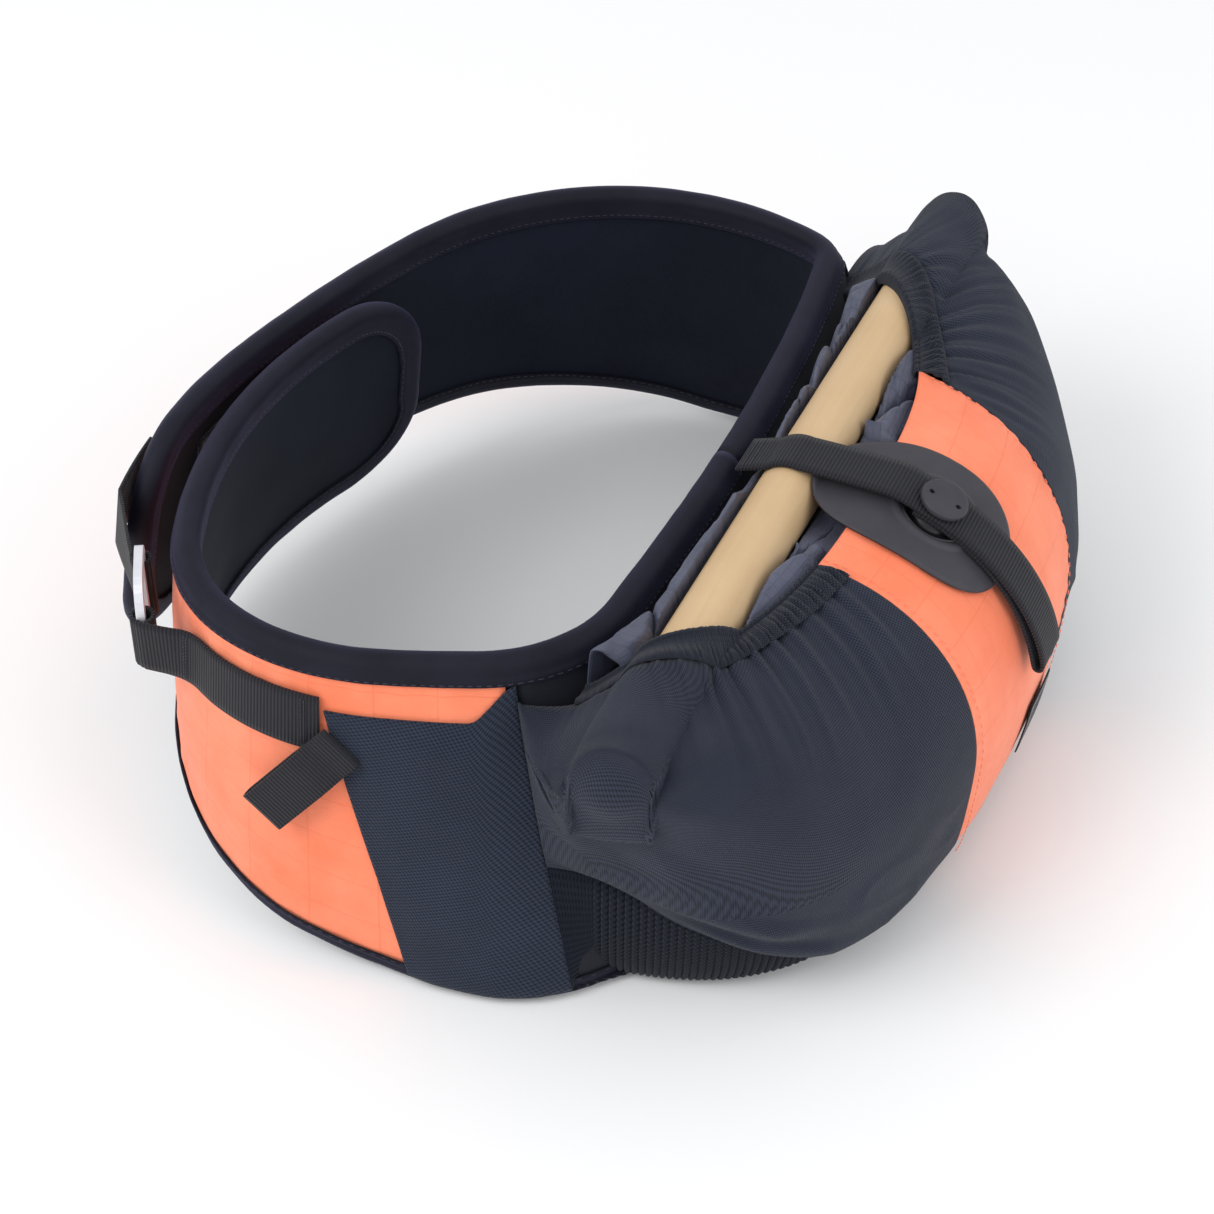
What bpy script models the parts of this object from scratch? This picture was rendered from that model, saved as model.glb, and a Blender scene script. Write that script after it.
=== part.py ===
"""Padded hip belt with a stretch pouch on its back that holds a packed parawing and its bar.

Metres, +Z up. The origin is on the floor under the middle of the back pad, +X is the
wearer's right and +Y the wearer's front. The pouch is at -Y.
"""
import math

import bmesh
import bpy
from mathutils import Matrix, Vector

MM = 0.001

# Belt: its height, how far its foot stands out, and its padding
BELT_HEIGHT = 150 * MM
FLARE = 25 * MM
HIP_FLARE = 22 * MM
FRONT_TUCK = 13 * MM
FRONT_RISE = 36 * MM
PAD_THICK = 11 * MM
CLOTH = 1.3 * MM
FOAM_GAP = 0.8 * MM
FOAM_INSET = 2.5 * MM
STIFFENER = 1.2 * MM
BINDING_CLOTH = 1.0 * MM
TOP_BINDING_DEPTH = 14 * MM
BOTTOM_BINDING_DEPTH = 9 * MM
WING_TIP_RADIUS = 42 * MM
GAP = 0.3 * MM

# The belt's plan line from the middle of the back: arc lengths and the degrees each one turns
BACK_Y = 24 * MM
RIGHT_ARCS = ((86, 5), (67, 5), (18, 58), (111, 50), (95, 41), (116, 11), (91, 24))
LEFT_ARCS = ((104, 4), (65, 60), (43, 7), (61, 35), (63, 49), (87, 24), (116, 32))
# Where the wings begin, measured along the plan line at the belt's top and foot
SEAM_TOP = 236 * MM
SEAM_FOOT = 200 * MM
POUCH_SEAM = 160 * MM
STATION = POUCH_SEAM / 12
FLANK_STATIONS = 6
TAPE_GAP = 0.8 * MM

# Control bar
BAR_LENGTH = 398 * MM
BAR_RADIUS = 13.5 * MM
BAR_X = 6 * MM
BAR_Y = -9 * MM
BAR_BELOW = 4 * MM
BAR_Z = BELT_HEIGHT - BAR_BELOW
BAR_CAP = 6 * MM

# Pouch: half-oval mouth, belly and foot, in plan, and their heights
POUCH_Y = 30 * MM
MOUTH_X, MOUTH_WIDE, MOUTH_DEEP = 5 * MM, 146 * MM, 72 * MM
BELLY_X, BELLY_WIDE, BELLY_DEEP = 9 * MM, 213 * MM, 148 * MM
FOOT_X, FOOT_WIDE, FOOT_DEEP = 8 * MM, 196 * MM, 128 * MM
RIGHT_ROUNDER = 0.55
MOUTH_ABOVE = 2 * MM
MOUTH_Z = BELT_HEIGHT + MOUTH_ABOVE
BELLY_BELOW = 80 * MM
BELLY_Z = MOUTH_Z - BELLY_BELOW
GUSSET_Z = 18 * MM
POUCH_CLOTH = 2.4 * MM
END_SQUARE = 0.72
FRONT_LEFT = (60 * MM, 72 * MM)
FRONT_RIGHT = (84 * MM, 46 * MM)
RIM_WIDTH = 12 * MM

# Snap plate, strap and button
PLATE_HALF = 33 * MM
PLATE_ABOVE = 24 * MM
PLATE_BELOW = 66 * MM
PLATE_THICK = 2.4 * MM
SNAP_HOLE = 9.5 * MM
STUD_RADIUS = 6.5 * MM
SNAP_ALONG = 29 * MM
STRAP_WIDTH = 22 * MM
STRAP_THICK = 1.4 * MM
STRAP_END = 106 * MM
BUTTON_RADIUS = 10.5 * MM
BUTTON_THICK = 3.4 * MM
POST_RADIUS = 3 * MM

# Waist strap, hook and pull tab
WAIST_WIDTH = 25 * MM
WAIST_BELOW = 30 * MM
WAIST_Z = BELT_HEIGHT - WAIST_BELOW
WAIST_THICK = 1.6 * MM
HOOK_TALL = 46 * MM
HOOK_ABOVE = 4 * MM
HOOK_WIDE = 34 * MM
HOOK_THICK = 3.6 * MM
HOOK_BAR = 5 * MM
HOOK_AT = 330 * MM
HOOK_OUT = 20 * MM
TAB_WIDTH = 20 * MM
TAB_LENGTH = 50 * MM
TAB_GAP = 5 * MM

for old in list(bpy.data.objects):
    bpy.data.objects.remove(old, do_unlink=True)
ASSEMBLY = bpy.data.collections.new("parawing_hip_belt")
bpy.context.scene.collection.children.link(ASSEMBLY)
CUTTERS = bpy.data.collections.new("cutters")
bpy.context.scene.collection.children.link(CUTTERS)


def material(name, colour, roughness, metallic=0.0):
    """One Principled material, shared by the pieces that are made of it."""
    made = bpy.data.materials.get(name)
    if made is None:
        made = bpy.data.materials.new(name)
        made.use_nodes = True
        shader = made.node_tree.nodes["Principled BSDF"]
        shader.inputs["Base Color"].default_value = (*colour, 1.0)
        shader.inputs["Roughness"].default_value = roughness
        shader.inputs["Metallic"].default_value = metallic
    return made


def orange_ripstop():
    return material("orange_ripstop", (1.0, 0.23, 0.09), 0.6)


def slate_mesh():
    return material("slate_mesh", (0.028, 0.036, 0.055), 0.8)


def navy_lining():
    return material("navy_lining", (0.012, 0.016, 0.03), 0.75)


def edge_tape():
    return material("edge_tape", (0.009, 0.009, 0.018), 0.65)


def foam():
    return material("foam", (0.35, 0.35, 0.37), 0.9)


def stiffener_sheet():
    return material("stiffener_sheet", (0.6, 0.6, 0.58), 0.5)


def ribbed_knit():
    return material("ribbed_knit", (0.010, 0.012, 0.020), 0.85)


def webbing():
    return material("webbing", (0.014, 0.015, 0.023), 0.7)


def moulded_rubber():
    return material("moulded_rubber", (0.06, 0.055, 0.07), 0.5)


def canopy_cloth():
    return material("canopy_cloth", (0.06, 0.068, 0.115), 0.4)


def bar_wood():
    return material("bar_wood", (0.62, 0.42, 0.22), 0.55)


def hook_metal():
    return material("hook_metal", (0.55, 0.55, 0.6), 0.35, 1.0)


def hook_loop_tape():
    return material("hook_loop_tape", (0.01, 0.01, 0.013), 0.95)


def woven_label():
    return material("woven_label", (0.02, 0.02, 0.03), 0.8)


def smooth(value, low, high):
    """0 below low, 1 above high, and an S-curve between them."""
    t = min(1.0, max(0.0, (value - low) / (high - low)))
    return t * t * (3 - 2 * t)


def plan_line(side, along):
    """Point and outward normal of the belt's plan line, that far from the middle of the back."""
    x, y, heading = 0.0, BACK_Y, 0.0
    left = along
    for length, turn in (RIGHT_ARCS if side > 0 else LEFT_ARCS):
        length = length * MM
        turn = math.radians(turn)
        last = (length, turn) == (RIGHT_ARCS if side > 0 else LEFT_ARCS)[-1]
        step = left if last else min(left, length)
        radius = length / turn
        swept = step / radius
        x += radius * (math.sin(heading + swept) - math.sin(heading))
        y += radius * (math.cos(heading) - math.cos(heading + swept))
        heading += swept
        left -= step
        if left <= 0:
            break
    return Vector((side * x, y, 0)), Vector((side * math.sin(heading), -math.cos(heading), 0))


def bump(value, middle, reach):
    """A smooth hump: 1 at middle and 0 from reach away."""
    return 1 - smooth(abs(value - middle), 0, reach)


def flare(along):
    """How far the belt's foot stands out from its top: most at the hip, least at the corner."""
    return (FLARE + HIP_FLARE * bump(along, 150 * MM, 90 * MM)
            - FRONT_TUCK * bump(along, 325 * MM, 90 * MM))


def on_belt(side, along, z, out=0.0):
    """World point of the belt's middle surface at a height, moved outwards by out."""
    point, normal = plan_line(side, along)
    point += normal * (out + flare(along) * (BELT_HEIGHT - z) / BELT_HEIGHT)
    point.z = z
    return point


def on_back(across, z, out=0.0):
    """The same for the back pad, where across runs from the left flank to the right one."""
    return on_belt(1 if across >= 0 else -1, abs(across), z, out)


def seam(z):
    """Where a wing meets its flank at a height."""
    return SEAM_FOOT + (SEAM_TOP - SEAM_FOOT) * z / BELT_HEIGHT


def foot_z(along):
    return FRONT_RISE * smooth(along, 190 * MM, 350 * MM)


def add_object(name, mesh, finish):
    piece = bpy.data.objects.new(name, mesh)
    piece.data.materials.append(finish)
    ASSEMBLY.objects.link(piece)
    return piece


def sheet(name, finish, columns, rows, place, thick, ring=False, even=True):
    """A cloth or plate: a grid laid on the surface place(u, v) and thickened evenly both ways."""
    form = bmesh.new()
    bmesh.ops.create_grid(form, x_segments=columns, y_segments=rows, size=0.5)
    for vertex in form.verts:
        vertex.co = place(vertex.co.x + 0.5, vertex.co.y + 0.5)
    if ring:
        bmesh.ops.remove_doubles(form, verts=form.verts, dist=0.00001)
    mesh = bpy.data.meshes.new(name)
    form.to_mesh(mesh)
    form.free()
    piece = add_object(name, mesh, finish)
    shell = piece.modifiers.new("thickness", "SOLIDIFY")
    shell.thickness = thick
    shell.offset = 0
    shell.use_even_offset = even
    return piece


def solid_from(name, finish, build):
    """A closed piece made by build(form) in a bmesh."""
    form = bmesh.new()
    build(form)
    mesh = bpy.data.meshes.new(name)
    form.to_mesh(mesh)
    form.free()
    return add_object(name, mesh, finish)


# ---- Belt pads: lining inside, foam, stiffener and the outer cloth, edged with tape

INSET = BINDING_CLOTH + 5 * GAP
HALF = PAD_THICK / 2
LINING_OUT = -HALF + CLOTH / 2
SHELL_OUT = HALF - CLOTH / 2
FOAM_INNER = -HALF + CLOTH + FOAM_GAP
TAPE_OUT = HALF + TAPE_GAP + BINDING_CLOTH / 2


def station(step, z):
    """Distance along the back pad at a station: even ones, then ones that fan to the seam."""
    count = POUCH_SEAM / STATION
    if abs(step) <= count:
        return step * STATION
    share = (abs(step) - count) / FLANK_STATIONS
    return math.copysign(POUCH_SEAM + share * (seam(z) - GAP - POUCH_SEAM), step)


POUCH_STATION = round(POUCH_SEAM / STATION)
SEAM_STATION = POUCH_STATION + FLANK_STATIONS


def back_layer(name, finish, first, last, out, thick, shift=0.0, inset=INSET):
    """A layer of the back pad between two stations."""
    def place(u, v):
        z = inset + v * (BELT_HEIGHT - 2 * inset)
        step = round(first + u * (last - first))
        return on_back(station(step, z) + (shift if step == first or step == last else 0), z, out)
    return sheet(name, finish, last - first, 4, place, thick)


FOAM_OUTER = HALF - CLOTH - STIFFENER - GAP - FOAM_GAP
back_layer("lumbar_lining", navy_lining(), -SEAM_STATION, SEAM_STATION, LINING_OUT, CLOTH)
back_layer("lumbar_foam", foam(), -SEAM_STATION, SEAM_STATION, (FOAM_INNER + FOAM_OUTER) / 2,
           FOAM_OUTER - FOAM_INNER, inset=INSET + FOAM_INSET)
back_layer("lumbar_stiffener", stiffener_sheet(), -POUCH_STATION, POUCH_STATION,
           SHELL_OUT - CLOTH / 2 - GAP - STIFFENER / 2, STIFFENER)
back_layer("lumbar_shell", edge_tape(), -POUCH_STATION, POUCH_STATION, SHELL_OUT, CLOTH)
back_layer("left_flank_mesh", slate_mesh(), -SEAM_STATION, -POUCH_STATION, SHELL_OUT, CLOTH, -GAP)
back_layer("right_flank_mesh", slate_mesh(), POUCH_STATION, SEAM_STATION, SHELL_OUT, CLOTH, GAP)


def tape(name, side, edge, inward, depth, columns):
    """Edge tape folded over a pad: edge(u) gives (along, z) and inward(u) the way into the pad."""
    def place(u, v):
        along, z = edge(u)
        step_along, step_z = inward(u)
        fold = v * 6
        deep = depth * max(0.0, 2 - fold, fold - 4) / 2
        out = TAPE_OUT * min(1.0, max(-1.0, 3 - fold))
        spot_z = z + step_z * deep
        spot = along + step_along * deep
        if side == 0:
            return on_back(spot, spot_z, out)
        return on_belt(side, spot, spot_z, out)
    return sheet(name, edge_tape(), columns, 6, place, BINDING_CLOTH)


EDGE = BINDING_CLOTH / 2 + 0.12 * MM


def back_edge(u, z):
    return station(round((2 * u - 1) * SEAM_STATION), z), z


tape("lumbar_top_binding", 0, lambda u: back_edge(u, BELT_HEIGHT - EDGE), lambda u: (0, -1),
     TOP_BINDING_DEPTH, 2 * SEAM_STATION)
tape("lumbar_bottom_binding", 0, lambda u: back_edge(u, EDGE), lambda u: (0, 1),
     BOTTOM_BINDING_DEPTH, 2 * SEAM_STATION)


def wing_end(side):
    return sum(length for length, turn in (RIGHT_ARCS if side > 0 else LEFT_ARCS)) * MM


def wing_edge(side, u, inset):
    """Walks a wing's edge from the seam along the top, round its tip and back along the foot."""
    radius = WING_TIP_RADIUS
    end = wing_end(side)
    top_run = end - radius - SEAM_TOP
    turn_run = math.pi / 2 * radius
    foot = foot_z(end)
    down_run = BELT_HEIGHT - foot - 2 * radius
    foot_run = end - radius - SEAM_FOOT
    total = top_run + 2 * turn_run + down_run + foot_run
    walked = u * total
    if walked < top_run:
        return (SEAM_TOP + 3 * GAP + walked, BELT_HEIGHT - inset), (0, -1)
    walked -= top_run
    if walked < turn_run:
        angle = math.pi / 2 - walked / radius
        reach = radius - inset
        return ((end - radius + reach * math.cos(angle), BELT_HEIGHT - radius + reach * math.sin(angle)),
                (-math.cos(angle), -math.sin(angle)))
    walked -= turn_run
    if walked < down_run:
        return (end - inset, BELT_HEIGHT - radius - walked), (-1, 0)
    walked -= down_run
    if walked < turn_run:
        angle = -walked / radius
        reach = radius - inset
        return ((end - radius + reach * math.cos(angle), foot + radius + reach * math.sin(angle)),
                (-math.cos(angle), -math.sin(angle)))
    walked -= turn_run
    along = end - radius - walked * (foot_run - 3 * GAP) / foot_run
    return (along, foot_z(along) + inset), (0, 1)


def wing_layer(name, finish, side, out, thick, inset=INSET):
    """A layer of a wing, from the slanted seam to the rounded tip."""
    end = wing_end(side) - inset
    radius = WING_TIP_RADIUS - inset

    def place(u, v):
        nominal = SEAM_TOP + (end - SEAM_TOP) * (1 - (1 - u) ** 1.3)
        over = min(1.0, max(0.0, (nominal - (end - radius)) / radius))
        cut = radius * (1 - math.sqrt(max(0.0, 1 - over * over)))
        low = foot_z(nominal) + inset + cut
        high = BELT_HEIGHT - inset - cut
        z = low + v * (high - low)
        pull = (1 - smooth(nominal, SEAM_TOP, SEAM_TOP + 120 * MM)) * (SEAM_TOP - seam(z))
        return on_belt(side, nominal - pull + 9 * GAP * (1 - u), z, out)
    return sheet(name, finish, 28, 4, place, thick)


for SIDE, WORD in ((-1, "left"), (1, "right")):
    wing_layer(WORD + "_wing_lining", navy_lining(), SIDE, LINING_OUT, CLOTH)
    wing_layer(WORD + "_wing_foam", foam(), SIDE, 0, PAD_THICK - 2 * CLOTH - 2 * FOAM_GAP,
               INSET + FOAM_INSET)
    wing_layer(WORD + "_wing_shell", orange_ripstop(), SIDE, SHELL_OUT, CLOTH)
    tape(WORD + "_wing_binding", SIDE, lambda u, side=SIDE: wing_edge(side, u, EDGE)[0],
         lambda u, side=SIDE: wing_edge(side, u, EDGE)[1], BOTTOM_BINDING_DEPTH, 58)

# Hook-and-loop tape where the wings overlap
PATCH_THICK = 1 * MM
PATCH_OUT = HALF + GAP + PATCH_THICK / 2


def patch(name, side, start, out):
    def place(u, v):
        return on_belt(side, start + u * 62 * MM, 60 * MM + v * 66 * MM, out)
    return sheet(name, hook_loop_tape(), 8, 2, place, PATCH_THICK)


patch("left_wing_loop_patch", -1, 436 * MM, PATCH_OUT)
patch("right_wing_hook_patch", 1, 470 * MM, -PATCH_OUT)

# ---- Pouch


def oval(centre, wide, deep, angle, power=2.5):
    """Half a superellipse at the belt's back: angle 0 is the left end, pi the right one."""
    c = math.cos(angle)
    s = max(0.0, math.sin(angle))
    power -= RIGHT_ROUNDER * smooth(-c, 0, 1)
    return Vector((centre - wide * math.copysign(abs(c) ** (2 / power), c),
                   POUCH_Y - deep * s ** (2 / power), 0))


def squareness(angle):
    """Power of the wall's upper section: round in the middle, square over the bar's ends."""
    from_end = min(angle, math.pi - angle)
    return 1 - END_SQUARE * (1 - smooth(from_end, 0.5, 1.1))


def pouch_wall(angle, v, out=0.0):
    """Point of the pouch wall: v 0 at the mouth, 0.5 at the belly, 1 at the foot."""
    mouth = oval(MOUTH_X, MOUTH_WIDE, MOUTH_DEEP, angle)
    belly = oval(BELLY_X, BELLY_WIDE + out, BELLY_DEEP + out, angle)
    foot = oval(FOOT_X, FOOT_WIDE + out, FOOT_DEEP + out, angle)
    square = squareness(angle)
    if v < 0.5:
        t = v * math.pi
        spot = mouth + (belly - mouth) * math.sin(t) ** square
        spot.z = BELLY_Z + (MOUTH_Z + out - BELLY_Z) * math.cos(t) ** square
    else:
        t = (v - 0.5) * math.pi
        spot = foot + (belly - foot) * math.cos(t) ** 0.8
        spot.z = BELLY_Z - (BELLY_Z - 3 * MM) * math.sin(t)
    return clear_of_bar(spot, out)


def clear_of_bar(spot, out):
    """Lifts the top of the pouch over the bar inside it, with a round end over each bar end."""
    reach = BAR_RADIUS + 4.5 * MM + out
    beyond = max(0.0, abs(spot.x - BAR_X) - BAR_LENGTH / 2)
    aside = math.hypot(beyond, spot.y - BAR_Y)
    if aside < reach:
        needed = BAR_Z + math.sqrt(reach ** 2 - aside ** 2)
        share = smooth(spot.z, BAR_Z - 26 * MM, BAR_Z - 8 * MM)
        spot.z += max(0.0, needed - spot.z) * share
    return spot


def front_edge(v, half_mouth, half_foot):
    """Angle of the front panel's seam beside the middle line, by height."""
    half = half_mouth + (half_foot - half_mouth) * min(1.0, v / 0.6)
    wide = MOUTH_WIDE + (BELLY_WIDE - MOUTH_WIDE) * math.sin(min(v, 0.5) * math.pi)
    return math.acos(min(1.0, half / wide) ** (2.5 / 2))


GUSSET_V = 0.5 + math.asin((BELLY_Z - GUSSET_Z) / (BELLY_Z - 3 * MM)) / math.pi
SEAM_ANGLE = 0.004


def no_rim(angle):
    return 0.0


def rim_line(angle):
    """Height v of the elastic's lower edge."""
    share = RIM_WIDTH / (BELLY_WIDE - MOUTH_WIDE)
    return math.asin(share ** (1 / squareness(angle))) / math.pi


def below_rim(angle):
    return rim_line(angle) + 0.004


def lower_seam(angle):
    return GUSSET_V - 0.004


def wall_piece(name, finish, start, end, low, high, columns, rows):
    """A panel of the pouch between two seams, given by v, and two lines, given by angle."""
    def place(u, v):
        height = 0.0
        for settle in range(5):
            angle = start(height) + u * (end(height) - start(height))
            height = low(angle) + (high(angle) - low(angle)) * v
        return pouch_wall(angle, height)
    return sheet(name, finish, columns, rows, place, POUCH_CLOTH, even=False)


def left_cut(v):
    return front_edge(v, *FRONT_LEFT)


def right_cut(v):
    return math.pi - front_edge(v, *FRONT_RIGHT)


def left_end(v):
    """Angle at which the pouch is sewn to the left flank, by height."""
    return 0.02 + 0.3 * smooth(v, 0.3, 1)


def right_end(v):
    return math.pi - left_end(v)


wall_piece("pouch_front", orange_ripstop(), lambda v: left_cut(v) + SEAM_ANGLE,
           lambda v: right_cut(v) - SEAM_ANGLE, no_rim, lower_seam, 10, 12)
wall_piece("pouch_left_mesh", slate_mesh(), left_end, left_cut, below_rim, lower_seam, 24, 12)
wall_piece("pouch_right_mesh", slate_mesh(), right_cut, right_end, below_rim, lower_seam, 24, 12)
wall_piece("pouch_left_elastic", ribbed_knit(), left_end, left_cut, no_rim, rim_line, 24, 2)
wall_piece("pouch_right_elastic", ribbed_knit(), right_cut, right_end, no_rim, rim_line, 24, 2)


def gusset_place(u, v):
    """Down from the wall's lower seam to the floor, then in under the pouch to the belt."""
    angle = left_end(1) + u * (right_end(1) - left_end(1))
    if v < 0.4:
        return pouch_wall(angle, GUSSET_V + (0.97 - GUSSET_V) * v / 0.4)
    outer = pouch_wall(angle, 0.97)
    inner = Vector((outer.x * 0.86, min(outer.y, BACK_Y - FLARE - HIP_FLARE / 2 - 14 * MM), outer.z))
    share = (v - 0.4) / 0.6
    spot = outer + (inner - outer) * share
    spot.z = outer.z - (outer.z - 2.5 * MM) * min(1.0, share * 5)
    return spot


sheet("pouch_gusset", ribbed_knit(), 40, 6, gusset_place, POUCH_CLOTH, even=False)

# Woven label low on the front panel


def label_place(u, v):
    middle = math.pi / 2 + 0.02
    height = 0.60 + 0.11 * v
    lean = 0.02 * (0.5 - v)
    spot = pouch_wall(middle + lean + (u - 0.5) * 0.07, height, POUCH_CLOTH / 2 + GAP + 0.5 * MM)
    return spot


sheet("pouch_label", woven_label(), 4, 4, label_place, 0.8 * MM)

# ---- Packed wing: bar with its end caps, and the folded canopy round it


def round_bar(form, radius, length, segments=24):
    bmesh.ops.create_cone(form, cap_ends=True, segments=segments, radius1=radius, radius2=radius,
                          depth=length)


BODY_LENGTH = BAR_LENGTH - 2 * (BAR_CAP + GAP)
BAR = solid_from("control_bar", bar_wood(), lambda form: round_bar(form, BAR_RADIUS, BODY_LENGTH))
BAR.rotation_euler = (0, math.pi / 2, 0)
BAR.location = (BAR_X, BAR_Y, BAR_Z)
for SIDE, WORD in ((-1, "left"), (1, "right")):
    CAP = solid_from("bar_end_cap_" + WORD, moulded_rubber(),
                     lambda form: round_bar(form, BAR_RADIUS, BAR_CAP))
    CAP.rotation_euler = (0, math.pi / 2, 0)
    CAP.location = (BAR_X + SIDE * (BAR_LENGTH - BAR_CAP) / 2, BAR_Y, BAR_Z)
    ROUND = CAP.modifiers.new("round", "BEVEL")
    ROUND.width = 1.5 * MM
    ROUND.segments = 2


def loaf(name, centre, half, power):
    """A packed roll of canopy: a rounded box."""
    def build(form):
        bmesh.ops.create_uvsphere(form, u_segments=20, v_segments=10, radius=1.0)
        for vertex in form.verts:
            unit = vertex.co.normalized()
            size = sum(abs(part) ** power for part in unit) ** (1 / power)
            vertex.co = Vector((centre[0] + half[0] * unit.x / size,
                                centre[1] + half[1] * unit.y / size,
                                centre[2] + half[2] * unit.z / size))
    return solid_from(name, canopy_cloth(), build)


loaf("canopy_core", (BELLY_X - 2 * MM, -58 * MM, BELLY_Z - 8 * MM), (138 * MM, 42 * MM, 52 * MM), 2.3)
loaf("canopy_back_roll", (BAR_X, 8 * MM, BAR_Z - 10 * MM), (120 * MM, 3.6 * MM, 12 * MM), 3)
loaf("canopy_front_roll", (BAR_X, -32.5 * MM, BAR_Z - 7 * MM), (112 * MM, 5 * MM, 9 * MM), 3)

# ---- Snap plate, strap and button


def on_front(x, along, out):
    """Point over the front panel: along runs down from the mouth, out stands off its cloth."""
    drop = (MOUTH_Z - BELLY_Z + BELLY_DEEP - MOUTH_DEEP) / 2
    v = max(0.0, along) / (drop * math.pi)
    spot = pouch_wall(front_edge(v, abs(x), abs(x)), v, out)
    spot.x = x
    if along < 0:
        spot.y -= along
    return spot


PLATE_OUT = POUCH_CLOTH / 2 + 2 * GAP + PLATE_THICK / 2


def plate_place(u, v):
    """Rings from the snap hole to the outline, a shield with a rounded top and a blunt tip."""
    turn = u * 2 * math.pi
    side = math.copysign(abs(math.sin(turn)) ** 0.83, math.sin(turn))
    rise = math.copysign(abs(math.cos(turn)) ** 0.83, math.cos(turn))
    length = PLATE_ABOVE + SNAP_ALONG if rise > 0 else PLATE_BELOW - SNAP_ALONG
    edge_x, edge_along = PLATE_HALF * side, -length * rise
    hole_x, hole_along = SNAP_HOLE * math.sin(turn), -SNAP_HOLE * math.cos(turn)
    x = hole_x + (edge_x - hole_x) * v
    along = SNAP_ALONG + hole_along + (edge_along - hole_along) * v
    spot = on_front(x, along, PLATE_OUT)
    over = spot - Vector((x, BAR_Y, BAR_Z))
    rest = BAR_RADIUS + PLATE_THICK / 2 + 2 * GAP
    if over.length < rest:
        spot.z = BAR_Z + math.sqrt(rest * rest - over.y * over.y)
    return spot


sheet("snap_plate", moulded_rubber(), 32, 5, plate_place, PLATE_THICK, ring=True)

LOWER_OUT = PLATE_OUT + PLATE_THICK / 2 + 2 * GAP + STRAP_THICK / 2
UPPER_OUT = LOWER_OUT + STRAP_THICK + 2 * GAP
STRAP_ROOT = Vector((0, BACK_Y - TAPE_OUT - BINDING_CLOTH - 0.5 * MM, BELT_HEIGHT + 1.2 * MM))
LOOP_RADIUS = 2.6 * MM
LOWER_START = SNAP_ALONG - 9 * MM


def strap_route(u):
    """Middle line of the pouch strap: over the bar to the button, down to its loop and back."""
    over_bar = Vector((0, BAR_Y, BAR_Z + BAR_RADIUS + STRAP_THICK / 2 + 2 * GAP))
    past_bar = Vector((0, BAR_Y - 14 * MM, over_bar.z + 0.4 * MM))
    if u < 0.1:
        return STRAP_ROOT + (over_bar - STRAP_ROOT) * (u / 0.1)
    if u < 0.15:
        return over_bar + (past_bar - over_bar) * ((u - 0.1) / 0.05)
    start = SNAP_ALONG - 20 * MM
    if u < 0.25:
        return past_bar + (on_front(0, start, UPPER_OUT + 2 * MM) - past_bar) * ((u - 0.15) / 0.1)
    if u < 0.6:
        t = (u - 0.25) / 0.35
        out = UPPER_OUT + 2 * MM * (1 - smooth(t, 0, 0.2)) + smooth(t, 0.3, 1) * 2.5 * MM
        return on_front(0, start + (STRAP_END - start) * t, out)
    low = LOWER_OUT + 0.2 * MM
    high = UPPER_OUT + 2.5 * MM
    if u < 0.68:
        turn = math.pi * (u - 0.6) / 0.08
        bend = (high - low) / 2
        return on_front(0, STRAP_END + bend * math.sin(turn), (high + low) / 2 + bend * math.cos(turn))
    t = (u - 0.68) / 0.32
    return on_front(0, STRAP_END + (LOWER_START - STRAP_END) * t, low)


def strap_place(u, v):
    """The strap's middle line given its width, and kept on top of the bar where it crosses it."""
    spot = strap_route(u)
    rest = BAR_RADIUS + STRAP_THICK / 2 + 3 * GAP
    if abs(spot.y - BAR_Y) < rest:
        spot.z = max(spot.z, BAR_Z + math.sqrt(rest ** 2 - (spot.y - BAR_Y) ** 2))
    spot.x = (v - 0.5) * STRAP_WIDTH
    return spot


STRAP = sheet("pouch_strap", webbing(), 60, 2, strap_place, STRAP_THICK)

FRONT_TILT = SNAP_ALONG / ((MOUTH_Z - BELLY_Z + BELLY_DEEP - MOUTH_DEEP) / 2)
STACK_TOP = UPPER_OUT + 0.4 * MM + STRAP_THICK / 2 + GAP
STUD_BASE = POUCH_CLOTH / 2 + GAP


def turned(name, finish, profile, segments=24):
    """A turned piece from a profile of (radius, height) run down its outer side."""
    mesh = bpy.data.meshes.new(name)
    points = [(radius, 0, height) for radius, height in profile]
    mesh.from_pydata(points, [(i, i + 1) for i in range(len(points) - 1)], [])
    piece = add_object(name, mesh, finish)
    spin = piece.modifiers.new("turn", "SCREW")
    spin.axis = "Z"
    spin.steps = segments
    spin.render_steps = segments
    spin.use_merge_vertices = True
    spin.merge_threshold = 0.0001
    return piece


def seat_on_front(piece, out):
    piece.location = on_front(0, SNAP_ALONG, out)
    piece.rotation_euler = (FRONT_TILT, 0, 0)


BUTTON = turned("strap_button", moulded_rubber(), (
    (0, BUTTON_THICK), (BUTTON_RADIUS - 1.5 * MM, BUTTON_THICK), (BUTTON_RADIUS, BUTTON_THICK - 1.2 * MM),
    (BUTTON_RADIUS, 0), (POST_RADIUS, 0), (POST_RADIUS, -STACK_TOP + LOWER_OUT - STRAP_THICK / 2),
    (0, -STACK_TOP + LOWER_OUT - STRAP_THICK / 2)))
seat_on_front(BUTTON, STACK_TOP)
STUD_TOP = LOWER_OUT - STRAP_THICK / 2 - GAP
STUD = turned("snap_stud", moulded_rubber(), (
    (0, STUD_TOP - STUD_BASE), (STUD_RADIUS - 1 * MM, STUD_TOP - STUD_BASE),
    (STUD_RADIUS, (STUD_TOP - STUD_BASE) / 2), (STUD_RADIUS - 1 * MM, 0), (0, 0)))
seat_on_front(STUD, STUD_BASE)

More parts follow.
